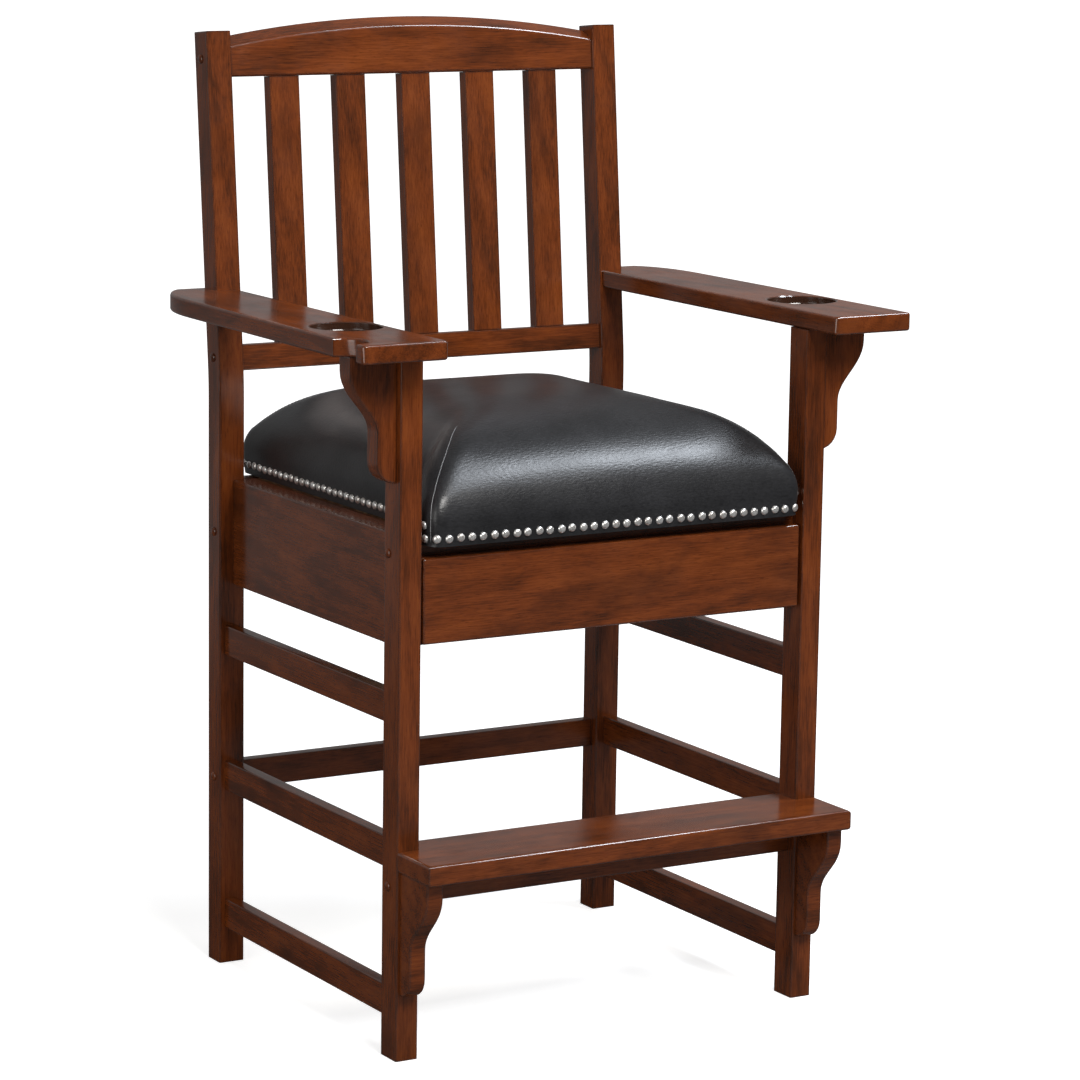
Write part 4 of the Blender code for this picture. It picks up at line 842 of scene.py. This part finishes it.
class CHAIR_OT_finish_wood(bpy.types.Operator):
    """Rounds the shading of every board's arrises and gives each board its stained or raw wood"""

    bl_idname = "chair.finish_wood"
    bl_label = "Finish Wood"

    def execute(self, context):
        finish = context.scene.chair_wood
        cherry = (finish.stain_deep, finish.stain_mid, finish.stain_light)
        # dark_cherry, the rails under the seat, is cherry dimmed by a share: painted shade from the seat above them
        tones = {"cherry": cherry,
                 "dark_cherry": [[part * finish.painted_shade_share for part in tone] for tone in cherry]}
        slots = {row["node"]: row["material_slot"] for row in frame["record"]["subparts"]}
        soften = soften_group()
        made = {}
        for number, name in enumerate(sorted(frame["nodes"])):
            item, slot = frame["nodes"][name], slots[name]
            if slot == "leather":
                continue
            way = next((a for a, names in GRAIN_ALONG.items() if name.startswith(names)), "Z")
            cup = CUPS.get(name.replace("arm_", "") + "_cup_floor")
            turned = name.startswith("plug")
            label = f"{slot}_grain_{way.lower()}" + ("_" + name if cup else "_turned" if turned else "")
            if label not in made:
                if slot in tones:
                    made[label] = stained_wood(label, way, *tones[slot], finish, PLUG_REACH if turned else 1.0, cup)
                else:
                    made[label] = raw_wood(label, way, *(BIRCH if slot == "birch" else PLYWOOD), ply=slot != "birch")
            item["board_shift"] = (number * BOARD_SHIFT_STEP) % 1.0
            item["board_tone"] = math.sin(number * BOARD_TONE_STEP)
            for place in item.material_slots:
                place.material = made[label]
            item.modifiers.new("soften", "NODES").node_group = soften
            weigh = item.modifiers.new("weigh", "WEIGHTED_NORMAL")
            weigh.keep_sharp, weigh.weight = True, ARRIS_WEIGHT
        return {"FINISHED"}


class CHAIR_OT_sew_seat(bpy.types.Operator):
    """Makes the crowned leather seat, stuffs it with the cloth solver, draws its darts in and cuts it to the frame"""

    bl_idname = "chair.sew_seat"
    bl_label = "Sew Seat"

    def execute(self, context):
        seat = context.scene.chair_seat
        bm, free, darts = seat_form()
        bm.verts.index_update()
        sewn = {v.index for line in darts for v in line}
        movable = {v.index for v in free} - sewn
        cushion = mesh_object("cushion", bm, black_leather(seat))
        stuff(cushion, movable, seat, sewn)
        finer = cushion.modifiers.new("finer", "SUBSURF")
        finer.levels = finer.render_levels = 1
        apply_modifiers(cushion)
        self.draw_darts(cushion, seat)
        close_underside(cushion)
        low, high = BOARD_BOX
        start = SKIRT_BACK - BOARD_GAP
        cut_box(cushion, (-LEG_FACE, start, CUT_FLOOR), (LEG_FACE, 2 * SEAT_REAR, SIDE_FOOT))
        cut_box(cushion, (low.x - BOARD_GAP, start, CUT_FLOOR), [edge + BOARD_GAP for edge in high])
        for face in cushion.data.polygons:
            face.use_smooth = True
        cushion.data.set_sharp_from_angle(angle=SOFT_LIMIT)
        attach(cushion, "frame")
        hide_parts("seat_cushion")
        return {"FINISHED"}

    def draw_darts(self, cushion, seat):
        """Presses a fine valley along each dart, which fades out towards its upper end."""
        for line in dart_lines():
            last = len(line) - 1
            tree = KDTree(len(line))
            for i, spot in enumerate(line):
                tree.insert(spot, i)
            tree.balance()
            for v in cushion.data.vertices:
                spot, i, far = tree.find(v.co)
                if far > 4 * seat.dart_width or v.co.z < SEAT_FOOT + MM:
                    continue
                run = (line[min(i + 1, last)] - line[max(i - 1, 0)]).normalized()
                away = v.co - spot
                away -= run * away.dot(run)
                fade = 1 - smooth_share(DART_FADE, 1.0, i / last)
                v.co -= v.normal * (seat.dart_depth * fade * math.exp(-((away.length / seat.dart_width) ** 2)))


class CHAIR_OT_stitch_darts(bpy.types.Operator):
    """Lays the raised thread line along each dart of the seat"""

    bl_idname = "chair.stitch_darts"
    bl_label = "Stitch Darts"

    def execute(self, context):
        skin, thread = seat_skin(), waxed_thread()
        names = ("front_right", "rear_right", "rear_left", "front_left")
        for name, line in zip(names, dart_lines()):
            points, normals = [], []
            for spot in line:
                place, normal, _, _ = skin.find_nearest(spot)
                points.append(place + normal * THREAD_LIFT)
                normals.append(normal)
            bm = bmesh.new()
            tube(bm, points, normals, THREAD_RADIUS, flat=0.7)
            seam = mesh_object("dart_seam_" + name, bm, thread)
            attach(seam, "frame")
        return {"FINISHED"}


class CHAIR_OT_drive_nails(bpy.types.Operator):
    """Drives the rows of domed nails through the leather round the seat"""

    bl_idname = "chair.drive_nails"
    bl_label = "Drive Nails"

    def execute(self, context):
        nails = context.scene.chair_nails
        skin, metal = seat_skin(), nail_metal(nails)
        front = [FRONT_ROW_START + FRONT_ROW_LENGTH * i / (nails.front_count - 1) for i in range(nails.front_count)]
        rows = {"nails_front": [((x, SEAT_FRONT - NAIL_SEARCH, FRONT_ROW_HEIGHT), (0, 1, 0)) for x in front]}
        count = int(SIDE_ROW_LENGTH / nails.side_pitch) + 1
        side = [(SIDE_ROW_START - nails.side_pitch * i, SIDE_ROW_HEIGHT) for i in range(count)]
        side.append((side[-1][0], SIDE_ROW_FOOT))
        for name, sign in (("nails_left", -1), ("nails_right", 1)):
            rows[name] = [((sign * (SEAT_HALF_WIDTH + NAIL_SEARCH), depth - CHAIR_MIDDLE, z), (-sign, 0, 0))
                          for depth, z in side]
        if nails.back_row:
            half = SEAT_HALF_WIDTH - CORNER_BEND
            spaces = round(2 * half / nails.side_pitch)
            rows["nails_back"] = [((-half + 2 * half * i / spaces, SEAT_REAR + NAIL_SEARCH, SIDE_ROW_HEIGHT),
                                   (0, -1, 0)) for i in range(spaces + 1)]
        for name, casts in rows.items():
            bm = bmesh.new()
            for i, (start, way) in enumerate(casts):
                drift = Vector((NAIL_DRIFT * math.sin(i * 2.9 + 0.7), 0, NAIL_RISE * math.sin(i * 4.3)))
                place, normal, _, _ = skin.ray_cast(Vector(start) + drift, Vector(way))
                if place is None:
                    raise RuntimeError(f"{name}: nail {i} meets no leather")
                tilt = Vector((math.sin(i * 5.1), math.sin(i * 3.7 + 1), math.sin(i * 2.3 + 2))) * NAIL_TILT
                add_nail(bm, place, (normal + tilt).normalized(), nails.radius, nails.dome, i * 1.7)
            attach(mesh_object(name, bm, metal), "frame")
        return {"FINISHED"}


class CHAIR_OT_set_studio(bpy.types.Operator):
    """Sets the camera, floor, lamps and surroundings"""

    bl_idname = "chair.set_studio"
    bl_label = "Set Studio"

    def execute(self, context):
        studio = context.scene.chair_studio
        context.scene.view_settings.view_transform = "Standard"
        self.place_camera(context.scene)
        self.lay_floor(studio)
        self.light_surround(context.scene, studio)
        warm, cool = (1.0, 0.98, 0.95), (0.86, 0.92, 1.0)
        lamps = (
            ("front_light", (-0.05, -2.8, 3.2), (0.0, 0.0, 0.55), 1.7, 1.3, studio.key_power, warm),
            ("high_light", (1.84, -0.92, 3.32), (0.45, -0.25, 0.7), 1.22, 0.60, studio.top_power, cool),
            ("edge_light", (1.06, -0.76, 3.32), (-0.32, -0.38, 0.87), 0.36, 0.22, 0.08 * studio.top_power, cool),
            ("side_light", (-3.6, -1.6, 1.3), (0.0, 0.0, 0.7), 2.0, 2.4, studio.side_power, warm),
        )
        for name, place, target, width, height, power, colour in lamps:
            lamp = bpy.data.lights.new(name, "AREA")
            lamp.shape, lamp.size, lamp.size_y, lamp.energy = "RECTANGLE", width, height, power
            lamp.color = colour
            item = link_object(name, lamp)
            item.location = place
            item.rotation_euler = (Vector(target) - Vector(place)).to_track_quat("-Z", "Y").to_euler()
        return {"FINISHED"}

    def place_camera(self, scene):
        """Looks from the front left, a little above the seat, as the photograph does."""
        yaw, pitch, roll = 0.5344, -0.1789, 0.0146
        place = (-2.48234, -4.24577, 1.45553)
        ahead = Vector((math.sin(yaw) * math.cos(pitch), math.cos(yaw) * math.cos(pitch), math.sin(pitch)))
        level = Vector((math.cos(yaw), -math.sin(yaw), 0.0))
        upright = level.cross(ahead)
        right = math.cos(roll) * level + math.sin(roll) * upright
        up = math.cos(roll) * upright - math.sin(roll) * level
        camera = bpy.data.cameras.new("camera")
        camera.lens, camera.sensor_width = 134.064, 36.0
        item = link_object("camera", camera)
        item.matrix_world = Matrix((*zip(right, up, -ahead, place), (0.0, 0.0, 0.0, 1.0)))
        scene.camera = item

    def lay_floor(self, studio):
        """A pale floor that runs out to the horizon, white where the camera sees it unshaded."""
        bm = bmesh.new()
        bmesh.ops.create_circle(bm, cap_ends=True, segments=64, radius=30.0)
        material, tree, surface = new_material("studio_floor")
        rays = put(tree, "ShaderNodeLightPath").node.outputs
        place = place_on(tree)
        speck = spread(tree, mottle(tree, place, 3.0, 3.0), 0.3, 0.7, 0.97, 1.0)
        colour = shade(tree, 1.0, opaque(studio.floor_colour),
                       put(tree, "ShaderNodeCombineColor", {0: speck, 1: speck, 2: speck}), "MULTIPLY")
        in_gloss, in_bounce, white = (opaque([level] * 3) for level in (0.04, 0.10, 1.0))
        ahead = spread(tree, part_of(tree, place, "Y"), 3.2, 1.5, 0.45, 0.94)
        colour = shade(tree, times(tree, rays["Is Glossy Ray"], ahead), colour, in_gloss)
        colour = shade(tree, times(tree, rays["Is Diffuse Ray"], 0.6), colour, in_bounce)
        far = length_of(tree, place)
        seen = calc(tree, "ADD", rays["Is Camera Ray"], rays["Is Transmission Ray"])
        lift = times(tree, seen, spread(tree, far, 0.8, 5.0, 0.70, 1.0))
        lay_surface(tree, surface, colour, 0.9, {
            "Specular IOR Level": 0.0, "Emission Color": white, "Emission Strength": lift})
        floor = mesh_object("floor", bm, material, smooth=False)
        floor.location.z = -0.4 * MM

    def light_surround(self, scene, studio):
        """White where the camera looks; for reflections, a brighter backdrop behind and a dim room in front."""
        world = bpy.data.worlds.new("studio")
        scene.world = world
        world.use_nodes = True
        tree = world.node_tree
        tree.nodes.clear()
        rays = put(tree, "ShaderNodeLightPath").node.outputs
        behind = spread(tree, part_of(tree, place_on(tree, "Generated"), "Y"), -0.35, 0.75, 0.07, 0.25)
        seen = calc(tree, "MAXIMUM", rays["Is Camera Ray"], rays["Is Transmission Ray"])
        glossy = times(tree, rays["Is Glossy Ray"], behind)
        plain = calc(tree, "SUBTRACT", 1.0, calc(tree, "MAXIMUM", seen, rays["Is Glossy Ray"]))
        level = calc(tree, "ADD", calc(tree, "MAXIMUM", seen, glossy), times(tree, plain, studio.surround))
        light = put(tree, "ShaderNodeBackground", {"Color": (1.0, 1.0, 1.0, 1.0), "Strength": level})
        tree.links.new(light, tree.nodes.new("ShaderNodeOutputWorld").inputs["Surface"])


class CHAIR_PT_looks(bpy.types.Panel):
    """The chair's looks, in the order they are made"""

    bl_idname = "CHAIR_PT_looks"
    bl_label = "Bar Height Chair"
    bl_space_type = "VIEW_3D"
    bl_region_type = "UI"
    bl_category = "Chair"

    def draw(self, context):
        for operator, settings, kind in STEPS:
            column = self.layout.column(align=True)
            column.operator(operator.bl_idname)
            for name in kind.__annotations__ if kind else ():
                column.prop(getattr(context.scene, settings), name)


STEPS = (
    (CHAIR_OT_set_studio, "chair_studio", ChairStudio),
    (CHAIR_OT_finish_wood, "chair_wood", ChairWoodFinish),
    (CHAIR_OT_sew_seat, "chair_seat", ChairSeatLeather),
    (CHAIR_OT_stitch_darts, "", None),
    (CHAIR_OT_drive_nails, "chair_nails", ChairSeatNails),
)
SETTINGS = {name: kind for _, name, kind in STEPS if name}
CLASSES = (*SETTINGS.values(), *(operator for operator, _, _ in STEPS), CHAIR_PT_looks)


def register():
    for kind in CLASSES:
        bpy.utils.register_class(kind)
    for name, kind in SETTINGS.items():
        setattr(bpy.types.Scene, name, PointerProperty(type=kind))


def unregister():
    for name in SETTINGS:
        delattr(bpy.types.Scene, name)
    for kind in reversed(CLASSES):
        bpy.utils.unregister_class(kind)


def main():
    register()
    bpy.ops.chair.set_studio()
    bpy.ops.chair.finish_wood()
    bpy.ops.chair.sew_seat()
    bpy.ops.chair.stitch_darts()
    bpy.ops.chair.drive_nails()


if __name__ == "__main__":
    main()
